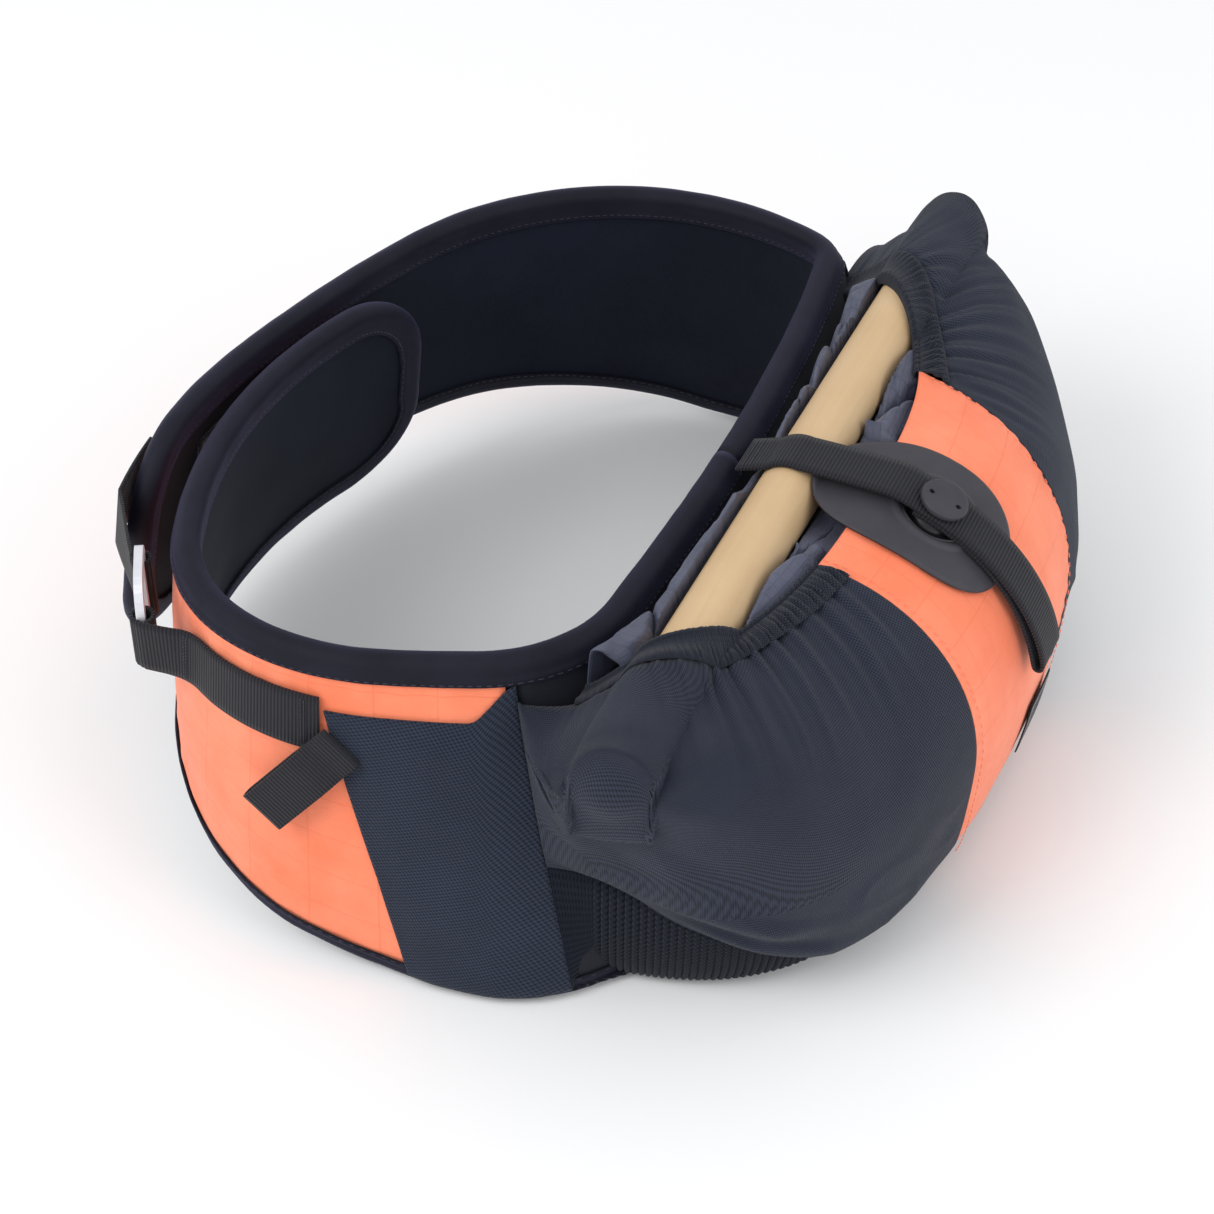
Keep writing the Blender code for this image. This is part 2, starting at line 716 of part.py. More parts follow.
POST_CUTTER_MESH = bpy.data.meshes.new("post_cutter")
CUTTER_FORM = bmesh.new()
bmesh.ops.create_cone(CUTTER_FORM, cap_ends=True, segments=24, radius1=POST_RADIUS + GAP,
                      radius2=POST_RADIUS + GAP, depth=12 * MM)
CUTTER_FORM.to_mesh(POST_CUTTER_MESH)
CUTTER_FORM.free()
POST_CUTTER = bpy.data.objects.new("post_cutter", POST_CUTTER_MESH)
CUTTERS.objects.link(POST_CUTTER)
POST_CUTTER.hide_render = True
POST_CUTTER.display_type = "WIRE"
seat_on_front(POST_CUTTER, (STACK_TOP + STUD_TOP) / 2)
HOLE = STRAP.modifiers.new("post_hole", "BOOLEAN")
HOLE.operation = "DIFFERENCE"
HOLE.solver = "EXACT"
HOLE.object = POST_CUTTER

# ---- Waist strap on the left flank, hook on the right wing's end, pull tab

STRAP_OUT = HALF + 2 * GAP + WAIST_THICK / 2 + BINDING_CLOTH


def frame_at(point, across, up):
    """World matrix with X along across and Y along up."""
    outward = across.cross(up).normalized()
    turned_up = outward.cross(across)
    rows = Matrix((across, turned_up, outward)).transposed().to_4x4()
    rows.translation = point
    return rows


HOOK_POINT, HOOK_NORMAL = plan_line(-1, HOOK_AT)
HOOK_POINT += HOOK_NORMAL * HOOK_OUT
HOOK_POINT.z = WAIST_Z + HOOK_ABOVE
HOOK_RUN = Vector((-HOOK_NORMAL.y, HOOK_NORMAL.x, 0))


def hook_spot(run, out=0.0):
    """Plan point beside the hook: run is measured from its webbing bar towards the flank."""
    return HOOK_POINT + HOOK_RUN * run + HOOK_NORMAL * out


def outline(name, finish, loops, thick):
    """A flat piece cut from plate: an outline, with any holes in it, filled and pulled up."""
    def build(form):
        edges = []
        for loop in loops:
            ring = [form.verts.new((x, y, -thick / 2)) for x, y in loop]
            edges += [form.edges.new((ring[i - 1], ring[i])) for i in range(len(ring))]
        bmesh.ops.triangle_fill(form, use_beauty=True, edges=edges)
        pulled = bmesh.ops.extrude_face_region(form, geom=form.faces[:])["geom"]
        top = [part for part in pulled if isinstance(part, bmesh.types.BMVert)]
        bmesh.ops.translate(form, verts=top, vec=(0, 0, thick))
        bmesh.ops.recalc_face_normals(form, faces=form.faces[:])
    return solid_from(name, finish, build)


def arc(cx, cy, radius, start, end, count=6):
    turns = [math.radians(start + (end - start) * i / count) for i in range(count + 1)]
    return [(cx + radius * math.cos(turn), cy + radius * math.sin(turn)) for turn in turns]


TALL = HOOK_TALL / 2
ROUND_HOOK = 7 * MM
ARM = 6 * MM
SLOT = 5 * MM
MIDDLE = HOOK_BAR + SLOT + HOOK_BAR
HOOK_OUTLINE = (
    arc(-HOOK_BAR / 2 + ROUND_HOOK, TALL - ROUND_HOOK, ROUND_HOOK, 180, 90)
    + arc(HOOK_WIDE - HOOK_BAR / 2 - 2 * ROUND_HOOK, TALL - 2 * ROUND_HOOK, 2 * ROUND_HOOK, 90, 0)
    + arc(HOOK_WIDE - HOOK_BAR / 2 - ARM / 2, -TALL + 12 * MM, ARM / 2, 0, -180)
    + arc(HOOK_WIDE - HOOK_BAR / 2 - 2 * ROUND_HOOK, TALL - 2 * ROUND_HOOK, 2 * ROUND_HOOK - ARM, 0, 90)
    + [(MIDDLE - HOOK_BAR / 2, TALL - ARM), (MIDDLE - HOOK_BAR / 2, -TALL + 1 * MM),
       (MIDDLE - HOOK_BAR / 2 - 1 * MM, -TALL)]
    + arc(-HOOK_BAR / 2 + ROUND_HOOK, -TALL + ROUND_HOOK, ROUND_HOOK, 270, 180))
SLOT_OUTLINE = ([(HOOK_BAR / 2, TALL - ARM), (HOOK_BAR / 2 + SLOT, TALL - ARM),
                 (HOOK_BAR / 2 + SLOT, -TALL + ARM), (HOOK_BAR / 2, -TALL + ARM)])
HOOK = outline("hook_buckle", hook_metal(), (HOOK_OUTLINE, SLOT_OUTLINE), HOOK_THICK)
HOOK.matrix_world = frame_at(HOOK_POINT, HOOK_RUN, Vector((0, 0, 1)))

RIBBON_THICK = 1.2 * MM
RIBBON_OFF = max(HOOK_THICK, HOOK_BAR) / 2 + RIBBON_THICK / 2 + 3 * GAP
WING_STOP = wing_end(1)


def ribbon_place(u, v):
    """From the right wing's outer face, out to the hook and once round its webbing bar."""
    z = HOOK_POINT.z + (v - 0.5) * (HOOK_TALL - 2 * ARM - 4 * MM)
    sewn_out = TAPE_OUT + BINDING_CLOTH / 2 + 2 * GAP + RIBBON_THICK / 2
    near = hook_spot(-3 * MM, RIBBON_OFF)
    if u < 0.3:
        spot = on_belt(1, WING_STOP - 34 * MM + u / 0.3 * 35 * MM, z, sewn_out)
    elif u < 0.6:
        leave = on_belt(1, WING_STOP + 1 * MM, z, sewn_out)
        spot = leave + (near - leave) * ((u - 0.3) / 0.3)
    else:
        turn = math.radians(90 - 250 * (u - 0.6) / 0.4)
        spot = hook_spot(RIBBON_OFF * math.cos(turn), RIBBON_OFF * math.sin(turn))
    spot.z = z
    return spot


sheet("hook_ribbon", webbing(), 24, 2, ribbon_place, RIBBON_THICK)

ARM_RUN = HOOK_WIDE - HOOK_BAR / 2 - ARM / 2
LOOP_OFF = max(HOOK_THICK, ARM) / 2 + WAIST_THICK / 2 + 4 * GAP
LEAVE_BELT = 292 * MM


def waist_place(u, v):
    """Sewn along the left flank, then on to the hook's arm and round it."""
    z = WAIST_Z + (v - 0.5) * WAIST_WIDTH
    arrive = hook_spot(ARM_RUN + 3 * MM, LOOP_OFF)
    if u < 0.5:
        start = SEAM_TOP + 3 * MM
        spot = on_belt(-1, start + (LEAVE_BELT - start) * u / 0.5, z, STRAP_OUT)
    elif u < 0.7:
        flank = on_belt(-1, LEAVE_BELT, z, STRAP_OUT)
        spot = flank + (arrive - flank) * ((u - 0.5) / 0.2)
    else:
        turn = math.radians(80 + 260 * (u - 0.7) / 0.3)
        spot = hook_spot(ARM_RUN + LOOP_OFF * math.cos(turn), LOOP_OFF * math.sin(turn))
    spot.z = z
    return spot


sheet("waist_strap", webbing(), 40, 2, waist_place, WAIST_THICK)

TAB_Z = WAIST_Z - 7 * MM
TAB_ROOT = on_belt(-1, seam(TAB_Z) - 4 * MM, TAB_Z, HALF + 5 * MM)
TAB_RUN = Vector((-0.26, 0.62, -0.72)).normalized()
TAB_SIDE = Vector((0.0, 0.70, 0.66))
TAB_NORMAL = TAB_RUN.cross(TAB_SIDE).normalized()
TAB_SIDE = TAB_NORMAL.cross(TAB_RUN)


def tab_place(u, v):
    """A loop of webbing: out along one ply, round its end and back along the other."""
    straight = TAB_LENGTH - TAB_GAP / 2
    if u < 0.4:
        run, off = straight * u / 0.4, TAB_GAP / 2
    elif u < 0.6:
        turn = math.pi * (0.5 - (u - 0.4) / 0.2)
        run, off = straight + TAB_GAP / 2 * math.cos(turn), TAB_GAP / 2 * math.sin(turn)
    else:
        run, off = straight * (1 - u) / 0.4, -TAB_GAP / 2
    return TAB_ROOT + TAB_RUN * run + TAB_NORMAL * off + TAB_SIDE * (v - 0.5) * TAB_WIDTH


sheet("pull_tab", webbing(), 30, 2, tab_place, STRAP_THICK)

# ---- Joint axes: each moving set hangs from an empty on its axis


def hang(name, spot, pieces):
    """Parents the pieces to an empty on their joint's axis."""
    axis = bpy.data.objects.new(name, None)
    axis.location = spot
    axis.empty_display_size = 20 * MM
    ASSEMBLY.objects.link(axis)
    bpy.context.view_layer.update()
    for piece_name in pieces:
        piece = bpy.data.objects[piece_name]
        piece.parent = axis
        piece.matrix_parent_inverse = axis.matrix_world.inverted()


def wing_axis(side):
    """Upright line just outside the pad at the seam's foot, so that the wing swings clear."""
    return on_belt(side, SEAM_FOOT, 0, TAPE_OUT + BINDING_CLOTH + 2 * GAP)


hang("left_wing_axis", wing_axis(-1), ("left_wing_lining", "left_wing_foam", "left_wing_shell",
                                       "left_wing_binding", "left_wing_loop_patch", "waist_strap"))
hang("right_wing_axis", wing_axis(1), ("right_wing_lining", "right_wing_foam", "right_wing_shell",
                                       "right_wing_binding", "right_wing_hook_patch", "hook_ribbon"))
hang("hook_axis", HOOK_POINT, ("hook_buckle",))
hang("strap_axis", STRAP_ROOT, ("pouch_strap", "strap_button", "snap_stud"))
hang("tab_axis", TAB_ROOT, ("pull_tab",))
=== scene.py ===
"""Looks of a padded hip belt whose stretch pouch carries a packed parawing and its bar."""
import math

import bmesh
import bpy
from mathutils import Matrix, Vector, noise


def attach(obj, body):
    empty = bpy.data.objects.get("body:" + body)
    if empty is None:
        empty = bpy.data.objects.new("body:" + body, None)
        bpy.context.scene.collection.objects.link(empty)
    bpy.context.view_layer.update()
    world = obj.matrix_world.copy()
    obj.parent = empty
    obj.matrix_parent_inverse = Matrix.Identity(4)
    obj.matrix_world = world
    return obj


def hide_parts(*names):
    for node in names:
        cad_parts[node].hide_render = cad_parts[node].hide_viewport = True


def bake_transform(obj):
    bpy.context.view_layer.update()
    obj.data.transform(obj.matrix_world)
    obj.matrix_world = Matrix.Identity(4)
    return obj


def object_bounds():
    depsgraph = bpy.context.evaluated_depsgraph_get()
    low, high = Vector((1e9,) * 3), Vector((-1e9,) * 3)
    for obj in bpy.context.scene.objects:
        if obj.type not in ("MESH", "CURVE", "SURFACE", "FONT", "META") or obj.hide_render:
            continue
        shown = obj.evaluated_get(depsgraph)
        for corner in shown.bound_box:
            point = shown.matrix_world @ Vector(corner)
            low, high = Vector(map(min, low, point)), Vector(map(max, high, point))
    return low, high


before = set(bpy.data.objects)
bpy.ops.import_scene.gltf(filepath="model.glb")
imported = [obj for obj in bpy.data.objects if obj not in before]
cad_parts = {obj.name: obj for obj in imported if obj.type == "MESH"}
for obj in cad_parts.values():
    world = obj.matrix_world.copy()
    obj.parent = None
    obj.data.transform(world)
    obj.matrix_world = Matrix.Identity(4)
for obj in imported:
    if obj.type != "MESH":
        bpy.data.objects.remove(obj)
cad_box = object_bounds()

# ---- Floor, light and camera
# The belt stands on its foot on a pale floor, under two large soft lamps and an even white sky.
# The eye is behind the wearer's left hip and looks down on the belt.

MM = 0.001


def material(name, colour, roughness, sheen=0.0, specular=0.5):
    """A Principled material, with its node tree's parts ready for a pattern."""
    made = bpy.data.materials.new(name)
    made.use_nodes = True
    shader = made.node_tree.nodes["Principled BSDF"]
    shader.inputs["Base Color"].default_value = (*colour, 1.0)
    shader.inputs["Roughness"].default_value = roughness
    shader.inputs["Sheen Weight"].default_value = sheen
    shader.inputs["Specular IOR Level"].default_value = specular
    return made


def node(tree, kind, **settings):
    """A node of a material or group, with its properties set."""
    made = tree.nodes.new("ShaderNode" + kind)
    for name, value in settings.items():
        setattr(made, name, value)
    return made


def feed(tree, made, **inputs):
    """Gives a node's inputs their numbers or links; an underscore stands for a space."""
    for name, value in inputs.items():
        socket = made.inputs[name.replace("_", " ")]
        if isinstance(value, bpy.types.NodeSocket):
            tree.links.new(value, socket)
        else:
            socket.default_value = value
    return made


def maths(tree, operation, *values):
    """The output of a Math node."""
    made = node(tree, "Math", operation=operation)
    for socket, value in zip(made.inputs, values):
        if isinstance(value, bpy.types.NodeSocket):
            tree.links.new(value, socket)
        else:
            socket.default_value = value
    return made.outputs[0]


floor_form = bmesh.new()
bmesh.ops.create_grid(floor_form, x_segments=1, y_segments=1, size=6)
floor_mesh = bpy.data.meshes.new("floor")
floor_form.to_mesh(floor_mesh)
floor = bpy.data.objects.new("floor", floor_mesh)
floor.location.z = cad_box[0][2] - 0.4 * MM
floor_finish = material("pale_floor", (0.93, 0.93, 0.93), 0.9, specular=0.1)
floor.data.materials.append(floor_finish)
bpy.context.scene.collection.objects.link(floor)

sky = bpy.data.worlds.new("soft_sky")
sky.use_nodes = True
sky.node_tree.nodes["Background"].inputs["Color"].default_value = (0.97, 0.98, 1.0, 1.0)
sky.node_tree.nodes["Background"].inputs["Strength"].default_value = 0.85
bpy.context.scene.world = sky


def lamp(name, spot, size, power):
    """A square soft lamp that faces the belt."""
    light = bpy.data.lights.new(name, "AREA")
    light.size = size
    light.energy = power
    holder = bpy.data.objects.new(name, light)
    holder.location = spot
    holder.rotation_euler = (Vector(spot) - Vector((0, 0.07, 0.05))).to_track_quat("Z", "Y").to_euler()
    bpy.context.scene.collection.objects.link(holder)


lamp("soft_key", (-1.2, 0.9, 1.5), 1.1, 16)
lamp("soft_fill", (-0.2, -1.7, 1.2), 1.4, 9)

eye = bpy.data.cameras.new("eye")
eye.lens = 84.1
eye.sensor_width = 36
camera = bpy.data.objects.new("eye", eye)
camera.location = (-0.8776, -0.3118, 0.9064)
camera.rotation_euler = (camera.location - Vector((-0.029, 0.066, 0.070))).to_track_quat("Z", "Y").to_euler()
bpy.context.scene.collection.objects.link(camera)
bpy.context.scene.camera = camera
bpy.context.scene.view_settings.view_transform = "Standard"

# ---- Belt pads
# Each half of the belt is one pad of closed-cell foam with a brushed neoprene lining towards the
# body. The halves meet in a seam at the middle of the back and bend round the wearer's hips.

BELT_HEIGHT = 150 * MM
TIP = 42 * MM
BACK_Y = 24 * MM
RIGHT_ARCS = ((86, 5), (67, 5), (18, 58), (111, 50), (95, 41), (116, 11), (91, 24))
LEFT_ARCS = ((104, 4), (65, 60), (43, 7), (61, 35), (63, 49), (87, 24), (116, 32))


def smooth(value, low, high):
    """0 below low, 1 above high, and an S-curve between them."""
    t = min(1.0, max(0.0, (value - low) / (high - low)))
    return t * t * (3 - 2 * t)


def bump(value, middle, reach):
    """A smooth hump: 1 at middle and 0 from reach away."""
    return 1 - smooth(abs(value - middle), 0, reach)


def arcs(side):
    return RIGHT_ARCS if side > 0 else LEFT_ARCS


def plan_line(side, along):
    """Point and outward normal of the belt's plan line, that far from the middle of the back."""
    x, y, heading = 0.0, BACK_Y, 0.0
    left = along
    for i, (length, turn) in enumerate(arcs(side)):
        length = length * MM
        turn = math.radians(turn)
        step = left if i == 6 else min(left, length)
        radius = length / turn
        swept = step / radius
        x += radius * (math.sin(heading + swept) - math.sin(heading))
        y += radius * (math.cos(heading) - math.cos(heading + swept))
        heading += swept
        left -= step
        if left <= 0:
            break
    return Vector((side * x, y, 0)), Vector((side * math.sin(heading), -math.cos(heading), 0))


def flare(along):
    """How far the belt's foot stands out from its top: most at the hip, least at the corner."""
    return 25 * MM + 22 * MM * bump(along, 150 * MM, 90 * MM) - 13 * MM * bump(along, 325 * MM, 90 * MM)


def on_belt(side, along, z, out=0.0):
    """Point of the belt's middle surface at a height, moved outwards by out."""
    point, normal = plan_line(side, along)
    point += normal * (out + flare(along) * (BELT_HEIGHT - z) / BELT_HEIGHT)
    point.z = z
    return point


def seam(z):
    """Where a wing meets its flank at a height."""
    return 200 * MM + 36 * MM * z / BELT_HEIGHT


def foot_z(along):
    return 36 * MM * smooth(along, 190 * MM, 350 * MM)


def wing_end(side):
    return sum(length for length, turn in arcs(side)) * MM


def rim_gap(side, along, z):
    """Distance from a point of the pad to its edge, round the wing's tip as well."""
    low = z - foot_z(along)
    high = BELT_HEIGHT - z
    beyond = along - (wing_end(side) - TIP)
    near = min(low, high)
    if beyond <= 0:
        return near
    if near < TIP:
        return TIP - math.hypot(beyond, TIP - near)
    return TIP - beyond


def pad_half(gap):
    """Half of the pad's thickness: nothing at its edge, pinched under the tape, full in its middle."""
    nose = 1 - min(1.0, max(0.0, gap) / (9 * MM))
    return 4.5 * MM * math.sqrt(max(0.0, 1 - nose * nose)) + 0.9 * MM * smooth(gap, 14 * MM, 42 * MM)


def piece_from(name, form, finish):
    """Makes the object for a finished bmesh."""
    mesh = bpy.data.meshes.new(name)
    form.to_mesh(mesh)
    form.free()
    mesh.materials.append(finish)
    made = bpy.data.objects.new(name, mesh)
    bpy.context.scene.collection.objects.link(made)
    return made


def settle(piece):
    """Applies the piece's modifiers, so that its mesh is final."""
    shaped = bpy.data.meshes.new_from_object(piece.evaluated_get(bpy.context.evaluated_depsgraph_get()))
    piece.modifiers.clear()
    piece.data = shaped
    return piece


def lattice(name, finish, columns, rows, place, size, wrap=False, merge=False):
    """A surface laid on place(u, v), with UVs in metres; wrap joins its last row to its first."""
    form = bmesh.new()
    weave = form.loops.layers.uv.new("weave")
    deep = rows if wrap else rows + 1
    points = [[form.verts.new(place(i / columns, j / rows)) for j in range(deep)] for i in range(columns + 1)]
    for i in range(columns):
        for j in range(rows):
            corners = ((i, j), (i + 1, j), (i + 1, j + 1), (i, j + 1))
            face = form.faces.new([points[a][b % deep] for a, b in corners])
            face.smooth = True
            for loop, (a, b) in zip(face.loops, corners):
                loop[weave].uv = (a / columns * size[0], b / rows * size[1])
    if merge:
        bmesh.ops.remove_doubles(form, verts=form.verts, dist=0.00002)
    if wrap:
        ends = [edge for edge in form.edges if edge.is_boundary]
        bmesh.ops.holes_fill(form, edges=ends, sides=0)
        bmesh.ops.recalc_face_normals(form, faces=form.faces)
    return piece_from(name, form, finish)


def cloth(name, finish, columns, rows, place, thick, size, merge=False):
    """A piece of cloth or webbing of a real thickness."""
    piece = lattice(name, finish, columns, rows, place, size, merge=merge)
    body = piece.modifiers.new("thickness", "SOLIDIFY")
    body.thickness = thick
    body.offset = 0
    return settle(piece)


def half_name(side):
    return "left" if side < 0 else "right"


def bend_with_wing(piece):
    """Bakes the piece's placement into its mesh; the piece is whole cloth from the back to the wing."""
    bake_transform(piece)


def socket(group, name, kind, direction, value=None):
    made = group.interface.new_socket(name, in_out=direction, socket_type="NodeSocket" + kind)
    if value is not None:
        made.default_value = value


weave_group = bpy.data.node_groups.new("crossed_yarns", "ShaderNodeTree")
socket(weave_group, "Vector", "Vector", "INPUT")
socket(weave_group, "Across", "Float", "INPUT", 900.0)
socket(weave_group, "Along", "Float", "INPUT", 900.0)
socket(weave_group, "Height", "Float", "OUTPUT")
weave_in = node(weave_group, "SeparateXYZ")
group_in = weave_group.nodes.new("NodeGroupInput")
group_out = weave_group.nodes.new("NodeGroupOutput")
weave_group.links.new(group_in.outputs["Vector"], weave_in.inputs[0])
yarns = [maths(weave_group, "SINE",
               maths(weave_group, "MULTIPLY", weave_in.outputs[axis], group_in.outputs[way]))
         for axis, way in enumerate(("Across", "Along"))]
crossing = maths(weave_group, "MULTIPLY", *yarns)
lifted = maths(weave_group, "MULTIPLY_ADD", crossing, 0.5, 0.5)
weave_group.links.new(lifted, group_out.inputs["Height"])

mottle_group = bpy.data.node_groups.new("uneven_dye", "ShaderNodeTree")
socket(mottle_group, "Vector", "Vector", "INPUT")
socket(mottle_group, "Scale", "Float", "INPUT", 30.0)
socket(mottle_group, "Patches", "Float", "OUTPUT")
group_in = mottle_group.nodes.new("NodeGroupInput")
group_out = mottle_group.nodes.new("NodeGroupOutput")
cloud = node(mottle_group, "TexNoise")
feed(mottle_group, cloud, Vector=group_in.outputs["Vector"], Scale=group_in.outputs["Scale"], Detail=5.0,
     Roughness=0.6)
spread = node(mottle_group, "MapRange")
feed(mottle_group, spread, Value=cloud.outputs["Fac"], From_Min=0.3, From_Max=0.7)
mottle_group.links.new(spread.outputs[0], group_out.inputs["Patches"])


def grouped(tree, group, **inputs):
    made = node(tree, "Group", node_tree=group)
    return feed(tree, made, **inputs)


def mixed(tree, share, dark, light):
    """A colour that runs from dark to light with share."""
    made = node(tree, "Mix", data_type="RGBA")
    tree.links.new(share, made.inputs["Factor"])
    for place, value in ((6, dark), (7, light)):
        if isinstance(value, bpy.types.NodeSocket):
            tree.links.new(value, made.inputs[place])
        else:
            made.inputs[place].default_value = (*value, 1.0)
    return made.outputs[2]


def raised(finish, height, strength, distance, colour=None, roughness=None):
    """Puts a height on the material as a bump, with its colour and its roughness."""
    tree = finish.node_tree
    shader = tree.nodes["Principled BSDF"]
    relief = node(tree, "Bump")
    feed(tree, relief, Height=height, Strength=strength, Distance=distance)
    tree.links.new(relief.outputs[0], shader.inputs["Normal"])
    if colour is not None:
        tree.links.new(colour, shader.inputs["Base Color"])
    if roughness is not None:
        tree.links.new(roughness, shader.inputs["Roughness"])


def uv_of(tree):
    return node(tree, "UVMap", uv_map="weave").outputs[0]


def patches_of(tree, scale):
    """Slow patches over the whole piece, in its own space."""
    place = node(tree, "TexCoord").outputs["Object"]
    return grouped(tree, mottle_group, Vector=place, Scale=scale).outputs[0]


lining = material("brushed_navy_lining", (0.008, 0.011, 0.024), 0.85, sheen=0.05, specular=0.15)
tree = lining.node_tree
nap = node(tree, "TexNoise")
feed(tree, nap, Vector=uv_of(tree), Scale=1400.0, Detail=3.0)
raised(lining, nap.outputs["Fac"], 0.25, 0.3 * MM,
       mixed(tree, patches_of(tree, 14.0), (0.004, 0.006, 0.015), (0.009, 0.012, 0.026)))


def pad_place(side):
    end = wing_end(side)

    def place(u, w):
        inner = w < 0.5
        t = w * 2 if inner else 2 - w * 2
        nominal = end * (1 - (1 - u) ** 1.35)
        over = min(1.0, max(0.0, (nominal - (end - TIP)) / TIP))
        cut = TIP * (1 - math.sqrt(max(0.0, 1 - over * over)))
        low = foot_z(nominal) + cut
        z = low + (0.5 - 0.5 * math.cos(math.pi * t)) * (BELT_HEIGHT - cut - low)
        half = pad_half(rim_gap(side, nominal, z))
        rumple = 0.5 * MM * noise.noise(Vector((nominal * 26, z * 30, side * 3)))
        rumple *= smooth(half, 4 * MM, 5 * MM)
        return on_belt(side, nominal, z, (-half - rumple) if inner else half)
    return place


for side in (-1, 1):
    pad = lattice(half_name(side) + "_belt_pad", lining, 150, 44, pad_place(side), (wing_end(side), 0.3),
                  wrap=True, merge=True)
    bend_with_wing(pad)
    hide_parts("lumbar_lining", "lumbar_foam", half_name(side) + "_wing_lining",
                half_name(side) + "_wing_foam")

# ---- Orange wing covers
# The outside of each wing is coated orange ripstop, cut in one piece that runs on above the flank
# as a narrow strip. It puckers a little where the edge tape is sewn over it.

orange = material("orange_ripstop", (0.95, 0.25, 0.12), 0.55, sheen=0.15, specular=0.3)

def ripstop_line(tree, value, spacing, width):
    """1 on every thick yarn and 0 between them."""
    wave = maths(tree, "PINGPONG", value, spacing / 2)
    line = node(tree, "MapRange", interpolation_type="SMOOTHSTEP")
    feed(tree, line, Value=wave, From_Min=width, From_Max=0.0)
    return line.outputs[0]


def ripstop(finish, dark, light, spacing, crease):
    """Plain weave with thick yarns crossing at an even spacing, and soft creases."""
    tree = finish.node_tree
    weave = uv_of(tree)
    split = node(tree, "SeparateXYZ")
    tree.links.new(weave, split.inputs[0])
    lines = maths(tree, "MAXIMUM", ripstop_line(tree, split.outputs[0], spacing, 0.45 * MM),
                  ripstop_line(tree, split.outputs[1], spacing, 0.45 * MM))
    yarns = grouped(tree, weave_group, Vector=weave, Across=7000.0, Along=7000.0).outputs[0]
    folds = node(tree, "TexNoise")
    feed(tree, folds, Vector=weave, Scale=crease, Detail=4.0, Roughness=0.55, Distortion=0.8)
    height = maths(tree, "ADD", maths(tree, "MULTIPLY", lines, 0.25), maths(tree, "MULTIPLY", yarns, 0.15))
    height = maths(tree, "ADD", height, maths(tree, "MULTIPLY", folds.outputs["Fac"], 2.2))
    shade = maths(tree, "SUBTRACT", patches_of(tree, 22.0), maths(tree, "MULTIPLY", lines, 0.35))
    raised(finish, height, 0.6, 1.0 * MM, mixed(tree, shade, dark, light))


ripstop(orange, (0.93, 0.205, 0.090), (1.0, 0.290, 0.155), 20 * MM, 45.0)


def pucker(along, gap):
    """Small waves that the tape's stitching pulls into the cloth."""
    wave = math.sin(along / (2.6 * MM) + 3 * noise.noise(Vector((along * 40, 1, 0))))
    shown = smooth(gap, 9 * MM, 12 * MM) * (1 - smooth(gap, 12 * MM, 28 * MM))
    return 0.45 * MM * wave * shown - 0.9 * MM * (1 - smooth(gap, 7 * MM, 11 * MM))


def cover_place(side, start, inset, off):
    """Over the pad's outside, from a line along it to the wing's tip."""
    end = wing_end(side) - inset
    radius = TIP - inset

    def place(u, v):
        nominal = start + (end - start) * (1 - (1 - u) ** 1.3)
        over = min(1.0, max(0.0, (nominal - (end - radius)) / radius))
        cut = radius * (1 - math.sqrt(max(0.0, 1 - over * over)))
        low = foot_z(nominal) + inset + cut
        z = low + v * (BELT_HEIGHT - inset - cut - low)
        gap = rim_gap(side, nominal, z)
        soft = 0.7 * MM * noise.noise(Vector((nominal * 22, z * 26, 5 + side)))
        soft *= smooth(gap, 9 * MM, 25 * MM)
        return on_belt(side, nominal, z, pad_half(gap) + off + pucker(nominal, gap) + soft)
    return place


for side in (-1, 1):
    end = wing_end(side)
    cover = cloth(half_name(side) + "_wing_cover", orange, 190, 40,
                  cover_place(side, 162 * MM, 4 * MM, 0.9 * MM), 0.6 * MM, (end - 159 * MM, BELT_HEIGHT))
    bend_with_wing(cover)
    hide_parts(half_name(side) + "_wing_shell")

# ---- Mesh flanks and the back cover
# Slate spacer mesh is sewn over each flank, between the pouch and the slanting wing seam. Behind
# the pouch the belt has a plain black cover over a plastic stiffener.

mesh_group = bpy.data.node_groups.new("spacer_mesh_cells", "ShaderNodeTree")
socket(mesh_group, "Vector", "Vector", "INPUT")
socket(mesh_group, "Pitch", "Float", "INPUT", 2.0 * MM)
socket(mesh_group, "Cells", "Float", "OUTPUT")
socket(mesh_group, "Height", "Float", "OUTPUT")
group_in = mesh_group.nodes.new("NodeGroupInput")
group_out = mesh_group.nodes.new("NodeGroupOutput")
mesh_split = node(mesh_group, "SeparateXYZ")
mesh_group.links.new(group_in.outputs["Vector"], mesh_split.inputs[0])
turn = maths(mesh_group, "DIVIDE", 2 * math.pi, group_in.outputs["Pitch"])
mesh_x = maths(mesh_group, "MULTIPLY", mesh_split.outputs[0], turn)
mesh_y = maths(mesh_group, "MULTIPLY", mesh_split.outputs[1], turn)
slant = maths(mesh_group, "SINE",
              maths(mesh_group, "ADD", mesh_x, maths(mesh_group, "MULTIPLY", mesh_y, 0.45)))
rows = maths(mesh_group, "SINE",
             maths(mesh_group, "SUBTRACT", mesh_y, maths(mesh_group, "MULTIPLY", mesh_x, 0.5)))
cells = maths(mesh_group, "MULTIPLY_ADD", maths(mesh_group, "MULTIPLY", slant, rows), 0.5, 0.5)
cells = maths(mesh_group, "POWER", cells, 1.4)
mesh_group.links.new(cells, group_out.inputs["Cells"])
mesh_group.links.new(maths(mesh_group, "SUBTRACT", 1.0, cells), group_out.inputs["Height"])


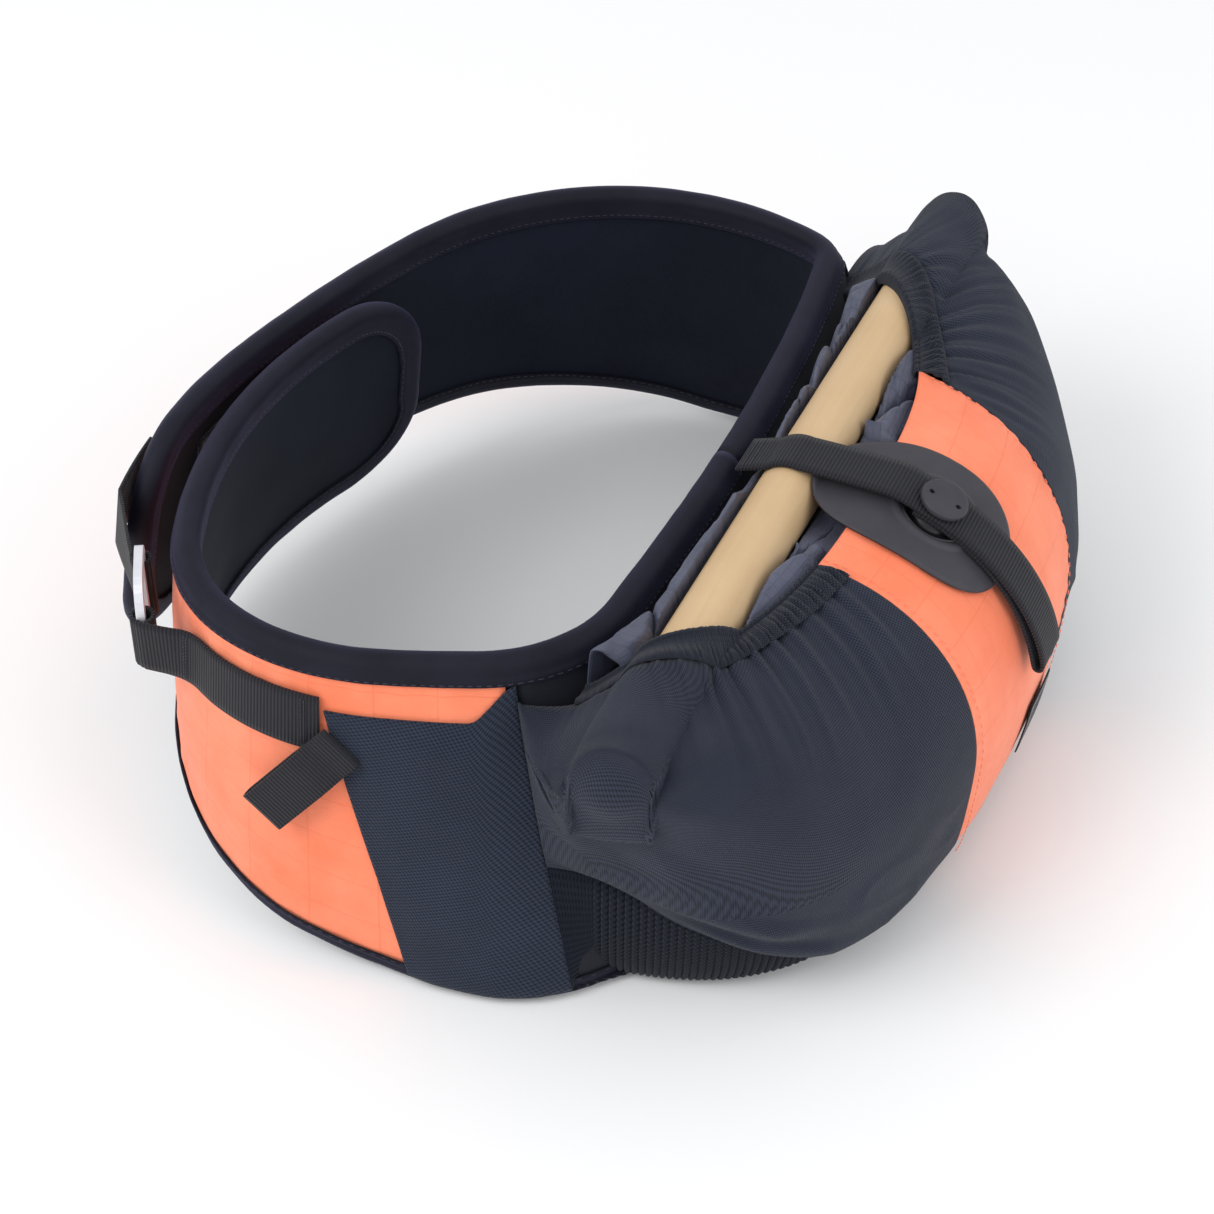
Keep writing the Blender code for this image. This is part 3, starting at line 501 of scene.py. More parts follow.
def spacer_mesh(name, dark, light, pitch):
    """Knitted mesh whose yarns stand out round small cells; painted shade darkens the sunk cells."""
    finish = material(name, light, 0.8, sheen=0.08, specular=0.2)
    tree = finish.node_tree
    cells = grouped(tree, mesh_group, Vector=uv_of(tree), Pitch=pitch)
    # Painted shade: the colour runs from dark in the sunk cells to light on the yarns, by the bump's height.
    shade = maths(tree, "MULTIPLY", cells.outputs["Height"],
                  maths(tree, "MULTIPLY_ADD", patches_of(tree, 25.0), 0.3, 0.75))
    raised(finish, cells.outputs["Height"], 0.7, 0.5 * MM, mixed(tree, shade, dark, light))
    return finish


# The first colour is the painted shade in the mesh's cells, the second the yarns' colour.
flank_mesh = spacer_mesh("slate_spacer_mesh", (0.002, 0.003, 0.008), (0.030, 0.041, 0.070), 2.1 * MM)
back_cloth = material("black_back_cloth", (0.008, 0.009, 0.016), 0.7, sheen=0.1, specular=0.25)
tree = back_cloth.node_tree
back_yarns = grouped(tree, weave_group, Vector=uv_of(tree), Across=5000.0, Along=5000.0).outputs[0]
raised(back_cloth, back_yarns, 0.4, 0.2 * MM,
       mixed(tree, patches_of(tree, 20.0), (0.005, 0.006, 0.011), (0.012, 0.013, 0.022)))


POUCH_SEAM_FOOT = 151 * MM
POUCH_SEAM_LEAN = 8 * MM


def pouch_seam(z):
    """Where the pouch's mesh is sewn over the flank at a height."""
    return POUCH_SEAM_FOOT + POUCH_SEAM_LEAN * z / BELT_HEIGHT


def flank_place(side):
    def place(u, v):
        low = 4 * MM
        guess = 0.07
        for settled in range(3):
            first = pouch_seam(guess)
            last = seam(guess)
            along = first + u * (last - first)
            high = BELT_HEIGHT - 9 * MM - 15 * MM * smooth(along, 158 * MM, 176 * MM)
            guess = low + v * (high - low)
        z = max(guess, low + foot_z(along))
        gap = rim_gap(side, along, z)
        edge = min(u, 1 - u) * 60 * MM
        puff = 0.8 * MM * smooth(min(edge, (1 - v) * 0.12), 0, 12 * MM)
        wave = 0.5 * MM * noise.noise(Vector((along * 30, z * 26, side * 7)))
        return on_belt(side, along, z, pad_half(gap) + 2.3 * MM + puff + wave)
    return place


for side in (-1, 1):
    flank = cloth(half_name(side) + "_flank_mesh_panel", flank_mesh, 50, 70, flank_place(side), 1.2 * MM,
                  (58 * MM, 125 * MM))
    bend_with_wing(flank)
    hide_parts(half_name(side) + "_flank_mesh")


def back_place(u, v):
    across = (u * 2 - 1) * 158 * MM
    z = 4 * MM + v * (BELT_HEIGHT - 8 * MM)
    gap = min(z, BELT_HEIGHT - z)
    return on_belt(1 if across >= 0 else -1, abs(across), z, pad_half(gap) + 0.9 * MM)


back_cover = cloth("back_cover", back_cloth, 60, 20, back_place, 0.7 * MM, (316 * MM, 142 * MM))
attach(back_cover, "belt")
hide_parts("lumbar_shell")

stiffener = material("stiffener_sheet", (0.55, 0.55, 0.53), 0.5)
tree = stiffener.node_tree
raised(stiffener, patches_of(tree, 60.0), 0.2, 0.3 * MM,
       mixed(tree, patches_of(tree, 12.0), (0.50, 0.50, 0.48), (0.60, 0.60, 0.57)))
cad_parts["lumbar_stiffener"].material_slots[0].material = stiffener

# ---- Edge tape
# One soft stretch tape a side is folded over the pad's edge, along the top, round the wing's tip and
# back along the foot, and sewn down on both faces with one row of thread.

tape_cloth = material("edge_tape", (0.006, 0.006, 0.014), 0.65, sheen=0.12, specular=0.2)
tape_cloth.node_tree.nodes["Principled BSDF"].inputs["Sheen Tint"].default_value = (0.45, 0.42, 0.9, 1.0)
tree = tape_cloth.node_tree
twill = grouped(tree, weave_group, Vector=uv_of(tree), Across=4200.0, Along=4200.0).outputs[0]
raised(tape_cloth, twill, 0.35, 0.25 * MM,
       mixed(tree, patches_of(tree, 35.0), (0.003, 0.003, 0.007), (0.008, 0.008, 0.017)))
thread = material("dark_thread", (0.02, 0.02, 0.035), 0.6, sheen=0.2)
tree = thread.node_tree
raised(thread, grouped(tree, weave_group, Vector=node(tree, "TexCoord").outputs["Object"], Across=9000.0,
                       Along=9000.0).outputs[0], 0.5, 0.1 * MM,
       mixed(tree, patches_of(tree, 90.0), (0.014, 0.014, 0.026), (0.03, 0.03, 0.05)))


def edge_length(side):
    end = wing_end(side)
    return 2 * (end - TIP) + math.pi * TIP + BELT_HEIGHT - 36 * MM - 2 * TIP


def edge_walk(side, u):
    """(along, z) on the pad's edge, the way into the pad, and the tape's depth there."""
    end = wing_end(side)
    walked = u * edge_length(side)
    top_run = end - TIP
    turn_run = math.pi / 2 * TIP
    down_run = BELT_HEIGHT - 36 * MM - 2 * TIP
    if walked < top_run:
        return (walked, BELT_HEIGHT), (0, -1), 14 * MM
    walked -= top_run
    if walked < turn_run:
        angle = math.pi / 2 - walked / TIP
        c, s = math.cos(angle), math.sin(angle)
        return (end - TIP + TIP * c, BELT_HEIGHT - TIP + TIP * s), (-c, -s), 14 * MM
    walked -= turn_run
    if walked < down_run:
        return (end, BELT_HEIGHT - TIP - walked), (-1, 0), 13 * MM
    walked -= down_run
    if walked < turn_run:
        angle = -walked / TIP
        c, s = math.cos(angle), math.sin(angle)
        return (end - TIP + TIP * c, 36 * MM + TIP + TIP * s), (-c, -s), 12 * MM
    walked -= turn_run
    along = end - TIP - walked
    return (along, foot_z(along)), (0, 1), 10 * MM + 2 * MM * smooth(along, 0.3, 0.5)


def tape_point(side, u, fold, lift=0.0):
    """fold runs from -1 on the inner face, over the edge at 0, to 1 on the outer face."""
    (along, z), inward, depth = edge_walk(side, u)
    depth = min(depth, 9 * MM) if fold > 0 else depth
    across = abs(fold)
    if across < 0.45:
        turn = across / 0.45 * math.pi / 2
        deep = 5 * MM * (1 - math.cos(turn))
        out = 5.3 * MM * math.sin(turn)
    else:
        share = (across - 0.45) / 0.55
        deep = 5 * MM + (depth - 5 * MM) * share
        over = 2.2 * MM if fold > 0 else 1.1 * MM
        out = 5.3 * MM + (over - 0.8 * MM) * smooth(share, 0, 1) - 0.5 * MM * bump(share, 0.82, 0.18)
    ripple = 0.25 * MM * noise.noise(Vector((u * edge_length(side) * 90, fold * 2, side)))
    out += ripple + lift
    if deep < 0.5 * MM:
        deep -= lift
    return on_belt(side, max(0.0, along + inward[0] * deep), z + inward[1] * deep, math.copysign(out, fold))


def stitch_row(name, finish, count, line, across, length=2.4 * MM, wide=0.45 * MM):
    """A row of stitches as one mesh: line(t) is a stitch's middle, across(t) the way out of the cloth."""
    form = bmesh.new()
    weave = form.loops.layers.uv.new("weave")
    for i in range(count):
        middle = line((i + 0.5) / count)
        ahead = line((i + 0.52) / count) - line((i + 0.48) / count)
        if ahead.length < 1e-9:
            continue
        ahead.normalize()
        out = across((i + 0.5) / count)
        out = (out - ahead * out.dot(ahead)).normalized()
        beside = out.cross(ahead)
        rings = []
        for run, half, lift in ((-0.5, 0.3, -0.25), (-0.36, 1, 0.25), (0.36, 1, 0.25), (0.5, 0.3, -0.25)):
            centre = middle + ahead * run * length + out * lift * wide
            rings.append([form.verts.new(centre + beside * wide * half * math.cos(a) / 2
                                         + out * wide * half * math.sin(a) / 2)
                          for a in (0.0, 1.257, 2.513, 3.770, 5.027)])
        for a, b in zip(rings, rings[1:]):
            for j in range(5):
                form.faces.new((a[j], a[(j + 1) % 5], b[(j + 1) % 5], b[j])).smooth = True
        form.faces.new(rings[0][::-1])
        form.faces.new(rings[-1])
    bmesh.ops.recalc_face_normals(form, faces=form.faces)
    for face in form.faces:
        for loop in face.loops:
            loop[weave].uv = (loop.vert.co.x, loop.vert.co.z)
    return piece_from(name, form, finish)


STITCH_PITCH = 3.6 * MM

for side in (-1, 1):
    word = half_name(side)
    length = edge_length(side)
    tape = cloth(word + "_edge_tape", tape_cloth, 300, 22,
                 lambda u, v, side=side: tape_point(side, u, v * 2 - 1), 0.9 * MM, (length, 36 * MM))
    rows = []
    for face_name, fold in (("outer", 0.9), ("inner", -0.9)):
        row = stitch_row(word + "_tape_" + face_name + "_stitching", thread, int(length / STITCH_PITCH),
                         lambda t, side=side, fold=fold: tape_point(side, t, fold, 0.45 * MM),
                         lambda t, side=side, fold=fold: (tape_point(side, t, fold, 2 * MM)
                                                          - tape_point(side, t, fold)))
        rows.append(row)
        bend_with_wing(row)
    bend_with_wing(tape)
    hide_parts("lumbar_top_binding", "lumbar_bottom_binding", word + "_wing_binding")

# ---- Hook-and-loop patches
# Where the wings overlap, the inner one has a patch of soft loop on its outside and the outer one a
# patch of stiff hook on its inside. Both are sewn down flat.

for name, side, start, out, height in (("left_wing_loop_patch", -1, 436, 6.4, 1.0),
                                       ("right_wing_hook_patch", 1, 470, -6.1, 0.5)):
    nap_finish = material(name + "_finish", (0.010, 0.010, 0.014), 0.95, sheen=0.4, specular=0.1)
    tree = nap_finish.node_tree
    pile = node(tree, "TexVoronoi")
    feed(tree, pile, Vector=uv_of(tree), Scale=1100.0 if height > 0.6 else 700.0)
    # The colour follows the pile's height: painted shade darkens the hollows of the pile.
    raised(nap_finish, pile.outputs["Distance"], height, 0.6 * MM,
           mixed(tree, pile.outputs["Distance"], (0.005, 0.005, 0.008), (0.022, 0.022, 0.030)))
    patch = cloth(name + "_piece", nap_finish, 20, 20,
                  lambda u, v, side=side, start=start, out=out: on_belt(
                      side, start * MM + u * 62 * MM, 60 * MM + v * 66 * MM, out * MM),
                  0.9 * MM, (62 * MM, 66 * MM))
    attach(patch, half_name(side) + "_wing")
    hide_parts(name)

# ---- Control bar
# A straight round bar of pale sanded wood lies along the top of the pouch, with a rubber cap on
# each end. Its ends are held under the stretch mesh.

BAR_LENGTH = 398 * MM
BAR_RADIUS = 13.5 * MM
BAR_X, BAR_Y, BAR_Z = 6 * MM, -9 * MM, 146 * MM

bar_wood = material("sanded_bar_wood", (0.62, 0.44, 0.25), 0.5, specular=0.35)
tree = bar_wood.node_tree
stretched = node(tree, "Mapping")
feed(tree, stretched, Vector=node(tree, "TexCoord").outputs["Object"], Scale=(6.0, 90.0, 90.0))
grain = node(tree, "TexNoise")
feed(tree, grain, Vector=stretched.outputs[0], Scale=2.0, Detail=8.0, Roughness=0.6, Distortion=0.5)
soft_patches = patches_of(tree, 18.0)
blend_share = maths(tree, "MULTIPLY_ADD", grain.outputs["Fac"], 0.55,
                    maths(tree, "MULTIPLY", soft_patches, 0.35))
raised(bar_wood, grain.outputs["Fac"], 0.15, 0.4 * MM,
       mixed(tree, blend_share, (0.50, 0.325, 0.155), (0.70, 0.515, 0.315)))
rubber = material("moulded_rubber", (0.045, 0.043, 0.052), 0.5, specular=0.3)
tree = rubber.node_tree
grit = node(tree, "TexNoise")
feed(tree, grit, Vector=node(tree, "TexCoord").outputs["Object"], Scale=1800.0, Detail=2.0)
raised(rubber, grit.outputs["Fac"], 0.2, 0.15 * MM,
       mixed(tree, patches_of(tree, 40.0), (0.038, 0.036, 0.044), (0.052, 0.050, 0.060)))


def round_bar(name, finish, x_from, x_to, radius, soften, rings):
    """A turned bar along X, with its ends rounded over."""
    profile = [(x_from, radius - soften)]
    for i in range(5):
        turn = i / 4 * math.pi / 2
        profile.append((x_from + soften * (1 - math.cos(turn)), radius - soften + soften * math.sin(turn)))
    profile += [(x_from + (x_to - x_from) * (0.05 + 0.9 * i / rings), radius) for i in range(rings + 1)]
    for i in range(5):
        turn = (1 - i / 4) * math.pi / 2
        profile.append((x_to - soften * (1 - math.cos(turn)), radius - soften + soften * math.sin(turn)))

    def place(u, w):
        x, r = profile[min(len(profile) - 1, round(u * (len(profile) - 1)))]
        turn = w * 2 * math.pi
        return Vector((x, BAR_Y + r * math.cos(turn), BAR_Z + r * math.sin(turn)))
    return lattice(name, finish, len(profile) - 1, 56, place, (x_to - x_from, 85 * MM), wrap=True, merge=True)


bar = round_bar("control_bar_body", bar_wood, BAR_X - 0.1927, BAR_X + 0.1927, BAR_RADIUS, 0.8 * MM, 40)
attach(bar, "belt")
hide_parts("control_bar")
for side in (-1, 1):
    near, far = BAR_X + side * 0.193, BAR_X + side * 0.199
    cap = round_bar(half_name(side) + "_bar_cap", rubber, min(near, far), max(near, far),
                    BAR_RADIUS, 1.6 * MM, 2)
    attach(cap, "belt")
    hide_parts("bar_end_cap_" + half_name(side))

# ---- Stretch pouch
# The pouch is knitted stretch mesh at both ends and orange ripstop at the front. It is pulled tight
# over the bar's ends, gathered by an elastic at its mouth, and closed below by a ribbed knit gusset.

POUCH_Y = 30 * MM
MOUTH = (5 * MM, 146 * MM, 72 * MM)
BELLY = (9 * MM, 213 * MM, 148 * MM)
FOOT = (8 * MM, 196 * MM, 128 * MM)
MOUTH_Z = 152 * MM
BELLY_Z = 72 * MM
POUCH_CLOTH = 2.4 * MM


def oval(shape, extra, angle):
    """Half a superellipse at the belt's back: angle 0 is the left end, pi the right one."""
    centre, wide, deep = shape
    c = math.cos(angle)
    s = max(0.0, math.sin(angle))
    power = 2.5 - 0.55 * smooth(-c, 0, 1)
    return Vector((centre - (wide + extra) * math.copysign(abs(c) ** (2 / power), c),
                   POUCH_Y - (deep + extra) * s ** (2 / power), 0))


def squareness(angle):
    """Power of the wall's upper section: round in the middle, square over the bar's ends."""
    from_end = min(angle, math.pi - angle)
    return 1 - 0.62 * (1 - smooth(from_end, 0.5, 1.1))


def over_bar(spot, reach):
    """Keeps the cloth off the bar, with a round end over each of its ends."""
    beyond = max(0.0, abs(spot.x - BAR_X) - BAR_LENGTH / 2)
    aside = math.hypot(beyond, spot.y - BAR_Y)
    if aside < reach:
        needed = BAR_Z + math.sqrt(reach ** 2 - aside ** 2)
        share = smooth(spot.z, BAR_Z - 26 * MM, BAR_Z - 8 * MM)
        spot.z += max(0.0, needed - spot.z) * share
    x = min(max(spot.x, BAR_X - BAR_LENGTH / 2 + 8 * MM), BAR_X + BAR_LENGTH / 2 - 8 * MM)
    away = spot - Vector((x, BAR_Y, BAR_Z))
    if away.length > 1 * MM:
        soft = 3.5 * MM
        pushed = soft * math.log(math.exp(away.length / soft) + math.exp((BAR_RADIUS + 1 * MM) / soft))
        spot += away.normalized() * (pushed - away.length)
    return spot


def pouch_wall(angle, v, out=0.0):
    """Point of the pouch wall: v 0 at the mouth, 0.5 at the belly, 1 at the foot."""
    mouth = oval(MOUTH, 0, angle)
    belly = oval(BELLY, out, angle)
    foot = oval(FOOT, out, angle)
    square = squareness(angle)
    if v < 0.5:
        t = v * math.pi
        spot = mouth + (belly - mouth) * math.sin(t) ** square
        spot.z = BELLY_Z + (MOUTH_Z + out - BELLY_Z) * math.cos(t) ** square
    else:
        t = (v - 0.5) * math.pi
        spot = foot + (belly - foot) * math.cos(t) ** 0.8
        spot.z = BELLY_Z - (BELLY_Z - 3 * MM) * math.sin(t)
    spot = over_bar(spot, BAR_RADIUS + 2.5 * MM + out)
    spot.z -= 20 * MM * smooth(spot.y, 2 * MM, 30 * MM) * smooth(spot.z, 90 * MM, 140 * MM)
    return spot


def front_edge(v, half_mouth, half_foot):
    """Angle of the front panel's seam beside the middle line, by height."""
    half = half_mouth + (half_foot - half_mouth) * min(1.0, v / 0.6)
    wide = MOUTH[1] + (BELLY[1] - MOUTH[1]) * math.sin(min(v, 0.5) * math.pi)
    return math.acos(min(1.0, half / wide) ** (2.5 / 2))


def left_cut(v):
    return front_edge(v, 60 * MM, 72 * MM)


def right_cut(v):
    return math.pi - front_edge(v, 84 * MM, 46 * MM)


def left_end(v):
    """Angle at which the pouch is sewn to the left flank, by height."""
    return 0.03 + 0.09 * smooth(v, 0.1, 0.45)


def right_end(v):
    return math.pi - left_end(v)


GUSSET_V = 0.5 + math.asin((BELLY_Z - 18 * MM) / (BELLY_Z - 3 * MM)) / math.pi


def lower_line(angle):
    """Height v of the mesh's lower seam, which climbs towards the belt at both ends."""
    return GUSSET_V - 0.25 * (1 - smooth(min(angle, math.pi - angle), 0.05, 1.0))


def drawn_in(angle):
    """How far the gusset draws the pouch's foot in towards the belt, at both ends."""
    return 24 * MM * (1 - smooth(min(angle, math.pi - angle), 0.1, 1.0))


def rim_line(angle):
    """Height v of the elastic's lower edge."""
    share = 12 * MM / (BELLY[1] - MOUTH[1])
    return math.asin(share ** (1 / squareness(angle))) / math.pi


def gathers(angle, v):
    """Folds that the elastic pulls into the cloth, deep at the mouth and gone at the belly."""
    wave = math.sin(angle * 74 + 2.4 * noise.noise(Vector((angle * 9, v * 4, 0))))
    wave += 0.5 * math.sin(angle * 131 + 3 * noise.noise(Vector((angle * 14, v * 3, 7))))
    calm = 0.25 + 0.75 * smooth(min(angle, math.pi - angle), 0.3, 0.9)
    return calm * (0.9 * MM * wave * (1 - smooth(v, 0.03, 0.34)) + 0.5 * MM * wave * bump(v, 0.0, 0.08))


def wrinkles(angle, v):
    """Slack that lies low on the pouch, in a few slanting folds."""
    fold = noise.noise(Vector((angle * 5 + v * 4, v * 9 - angle * 2, 3)))
    sharp = 1 - abs(noise.noise(Vector((angle * 3.2 - v * 3.5, v * 5.5 + angle, 11)))) * 3.2
    creased = 1.3 * MM * max(0.0, sharp) ** 2
    return 1.2 * MM * fold + creased * smooth(v, 0.35, 0.6) * (1 - smooth(v, 0.78, 0.86))


def wall_place(start, end, low, high, dress):
    """A panel between two seams, given by height, and two lines, given by angle."""
    def place(u, v):
        height = 0.0
        for settled in range(5):
            angle = start(height) + u * (end(height) - start(height))
            height = low(angle) + (high(angle) - low(angle)) * v
        spot = pouch_wall(angle, height)
        away = pouch_wall(angle, height, 3 * MM) - spot
        if away.length < 0.2 * MM:
            away = Vector((0, 0, 1))
        return spot + away.normalized() * dress(angle, height)
    return place


JOIN_SHARE = 0.12
JOIN_SWELL = 9 * MM


def sewn_on(side, start, end, low, high, dress):
    """A panel of the wall whose outer end turns back to its seam on the belt."""
    panel = wall_place(start, end, low, high, dress)

    def place(u, v):
        along = u if side < 0 else 1 - u
        if along >= JOIN_SHARE:
            share = (along - JOIN_SHARE) / (1 - JOIN_SHARE)
            return panel(share if side < 0 else 1 - share, v)
        edge = panel(0.0 if side < 0 else 1.0, v)
        inner = panel(0.02 if side < 0 else 0.98, v)
        z = min(edge.z, BELT_HEIGHT - 7 * MM)
        anchor = on_belt(side, pouch_seam(z), z, pad_half(30 * MM) + 3.4 * MM)
        t = 1 - along / JOIN_SHARE
        lead = edge + (edge - inner).normalized() * JOIN_SWELL
        return edge * (1 - t) ** 2 + lead * (2 * t * (1 - t)) + anchor * t ** 2
    return place


# The first colour is the painted shade in the mesh's cells, the second the yarns' colour.
pouch_mesh = spacer_mesh("pouch_stretch_mesh", (0.003, 0.004, 0.010), (0.031, 0.039, 0.064), 1.9 * MM)


def crease(angle, v, start, end, wide):
    """1 along a straight crease between two points of the wall, fading at its ends."""
    run = (end[0] - start[0], (end[1] - start[1]) * 3)
    here = (angle - start[0], (v - start[1]) * 3)
    length = math.hypot(*run)
    share = (here[0] * run[0] + here[1] * run[1]) / length ** 2
    aside = abs(here[0] * run[1] - here[1] * run[0]) / length
    return (1 - smooth(aside, 0, wide)) * bump(share, 0.5, 0.55)


def mesh_dress(angle, v):
    """Gathers, slack folds, the hollow beside the bar's end, and the cloth turned in to the gusset."""
    turned = angle if angle < math.pi / 2 else math.pi - angle
    hollow = -6 * MM * bump(turned, 0.1, 0.2) * bump(v, 0.2, 0.16)
    shelf = 3.2 * MM * crease(turned, v, (0.12, 0.42), (0.95, 0.64), 0.10)
    shelf -= 3.4 * MM * crease(turned, v, (0.12, 0.48), (0.95, 0.70), 0.09)
    tuck = 2.2 * MM * crease(turned, v, (0.55, 0.02), (0.30, 0.34), 0.08)
    roll = -7 * MM * smooth(v, lower_line(angle) - 0.07, lower_line(angle)) ** 2
    roll -= drawn_in(angle) * smooth(v, lower_line(angle) - 0.30, lower_line(angle))
    cut = left_cut(v) if angle < math.pi / 2 else right_cut(v)
    free = smooth(abs(angle - cut), 0.0, 0.08)
    return (gathers(angle, v) + wrinkles(angle, v)) * free + hollow + shelf + tuck + roll


for name, side, start, end in (("pouch_left_mesh", -1, left_end, left_cut),
                               ("pouch_right_mesh", 1, right_cut, right_end)):
    panel = cloth(name + "_panel", pouch_mesh, 220, 110,
                  sewn_on(side, start, end, lambda angle: rim_line(angle) * 0.8, lower_line, mesh_dress),
                  1.2 * MM, (250 * MM, 190 * MM))
    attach(panel, "belt")
    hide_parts(name)

# ---- Orange pouch front
# The pouch's front is one panel of the same ripstop as the wings, hemmed at the mouth and felled
# to the mesh at both sides with a line of top stitching.


def front_dress(angle, v):
    edge = min(angle - left_cut(v), right_cut(v) - angle)
    swell = 0.8 * MM * smooth(edge, 0, 0.12)
    soft = 0.9 * MM * noise.noise(Vector((angle * 7, v * 9, 21)))
    tug = 0.25 * MM * math.sin(v * 170 + 2 * noise.noise(Vector((v * 30, angle, 2))))
    tug *= 1 - smooth(edge, 0, 0.09)
    roll = -7 * MM * smooth(v, lower_line(angle) - 0.07, lower_line(angle)) ** 2
    return swell + soft + tug + roll


front = cloth("pouch_front_panel", orange, 90, 110,
              wall_place(left_cut, right_cut, lambda angle: 0.0, lower_line, front_dress),
              0.8 * MM, (150 * MM, 175 * MM))
for word, cut, turn in (("left", left_cut, 0.018), ("right", right_cut, -0.018)):
    def beside(t, out=0.0, cut=cut, turn=turn):
        return pouch_wall(cut(t * GUSSET_V) + turn, t * GUSSET_V, out)

    row = stitch_row("front_" + word + "_stitching", orange, 46,
                     lambda t, beside=beside: beside(t, 1.6 * MM),
                     lambda t, beside=beside: beside(t, 4 * MM) - beside(t))
    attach(row, "belt")
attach(front, "belt")
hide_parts("pouch_front")

# ---- Gathered mouth
# A wide elastic is sewn in a folded channel of knit along the mouth, left and right of the front
# panel. It draws the channel up into tight little puckers.

ruche_knit = material("ruched_knit", (0.020, 0.024, 0.036), 0.85, sheen=0.1, specular=0.15)
tree = ruche_knit.node_tree
loops = grouped(tree, weave_group, Vector=uv_of(tree), Across=3400.0, Along=3000.0).outputs[0]
# The colour follows the loops' height: painted shade darkens the knit between its loops.
raised(ruche_knit, loops, 0.7, 0.5 * MM, mixed(tree, loops, (0.003, 0.004, 0.008), (0.028, 0.033, 0.050)))


def ruche_place(start, end):
    """Up the outside of the channel, over its rim and down inside it."""
    def place(u, v):
        angle = start(0.0) + u * (end(0.0) - start(0.0))
        line = rim_line(angle)
        if v < 0.6:
            height = line * (1 - v / 0.6)
            angle = start(height) + u * (end(height) - start(height))
        pucker = math.sin(angle * 210 + 4 * noise.noise(Vector((angle * 30, 0, 3)))) * 0.9 * MM
        pucker += 0.8 * MM * noise.noise(Vector((angle * 60, v * 5, 9)))
        pucker *= 0.3 + 0.7 * smooth(min(angle, math.pi - angle), 0.3, 0.9)
        if v < 0.6:
            height = line * (1 - v / 0.6)
            swell = 1.9 * MM * math.sin(math.pi * min(1.0, v / 0.6 + 0.12))
            spot = pouch_wall(angle, height)
            away = (pouch_wall(angle, height, 3 * MM) - spot)
            away = away.normalized() if away.length > 0.2 * MM else Vector((0, 0, 1))
            return spot + away * (swell + pucker * math.sin(math.pi * min(1.0, v / 0.6 + 0.05)) + 0.6 * MM)
        spot = pouch_wall(angle, 0.0)
        inward = Vector((MOUTH[0], POUCH_Y, 0)) - Vector((spot.x, spot.y, 0))
        inward.normalize()
        share = (v - 0.6) / 0.4
        fall = math.pi * min(1.0, share * 1.6)
        drop = 8 * MM * max(0.0, share - 0.4)
        return spot + inward * (1.6 * MM * (1 - math.cos(fall)) / 2 * 1.6) + Vector(
            (0, 0, 1.4 * MM * math.sin(fall) * 0.6 - drop + pucker * 0.3))
    return place


for name, start, end, length in (("pouch_left_elastic", left_end, left_cut, 215 * MM),
                                 ("pouch_right_elastic", right_cut, right_end, 190 * MM)):
    ruche = cloth(name + "_channel", ruche_knit, 420, 20, ruche_place(start, end), 0.9 * MM,
                  (230 * MM, 34 * MM))
    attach(ruche, "belt")
    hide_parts(name)

# ---- Ribbed gusset
# Below the mesh a stretchy ribbed knit closes the pouch: its ribs run down from the mesh's lower
# seam, turn under the load and are sewn to the belt's foot.

rib_knit = material("ribbed_knit", (0.012, 0.014, 0.024), 0.85, sheen=0.08, specular=0.12)
tree = rib_knit.node_tree
courses = grouped(tree, weave_group, Vector=uv_of(tree), Across=1571.0, Along=3600.0).outputs[0]
# The colour follows the ribs' height: painted shade darkens the grooves between the ribs.
raised(rib_knit, courses, 0.6, 0.5 * MM, mixed(tree, courses, (0.002, 0.003, 0.007), (0.012, 0.016, 0.028)))


RIBS = 140
GUSSET_TURN = 0.09


def gusset_line(u, v):
    """Down from the wall's lower seam to the floor, then in under the pouch to the belt."""
    along = min(1.0, max(0.0, (u - GUSSET_TURN) / (1 - 2 * GUSSET_TURN)))
    angle = left_end(1) + along * (right_end(1) - left_end(1))
    if v < 0.4:
        start = lower_line(angle) - 0.03
        out = -9 * MM - drawn_in(angle) * (1 - 0.4 * v / 0.4)
        return pouch_wall(angle, start + (0.97 - start) * v / 0.4, out)
    outer = pouch_wall(angle, 0.97, -9 * MM - 0.6 * drawn_in(angle))
    inner = Vector((outer.x * 0.86, min(outer.y, BACK_Y - 50 * MM), outer.z))
    share = (v - 0.4) / 0.6
    spot = outer + (inner - outer) * share
    spot.z = outer.z - (outer.z - 2.5 * MM) * min(1.0, share * 5)
    return spot


def gusset_place(u, v):
    spot = gusset_line(u, v)
    if min(u, 1 - u) < GUSSET_TURN:
        side = -1 if u < 0.5 else 1
        z = min(max(spot.z, 4 * MM), BELT_HEIGHT)
        anchor = on_belt(side, pouch_seam(z), z, pad_half(min(z, 12 * MM)) + 2.4 * MM)
        spot = spot.lerp(anchor, 1 - min(u, 1 - u) / GUSSET_TURN)
    rib = math.cos(2 * math.pi * RIBS * u)
    out = Vector((spot.x - BELLY[0], spot.y - POUCH_Y, 0)).normalized()
    lift = 0.8 * MM * rib
    return spot + (out * lift if v < 0.42 else Vector((0, 0, max(0.0, lift) * 0.5)))


gusset = cloth("pouch_gusset_knit", rib_knit, RIBS * 6, 16, gusset_place, 1.4 * MM, (560 * MM, 110 * MM))
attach(gusset, "belt")
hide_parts("pouch_gusset")

# ---- Woven label
# A small black damask label is sewn low on the front panel, with a plain pale border woven in.

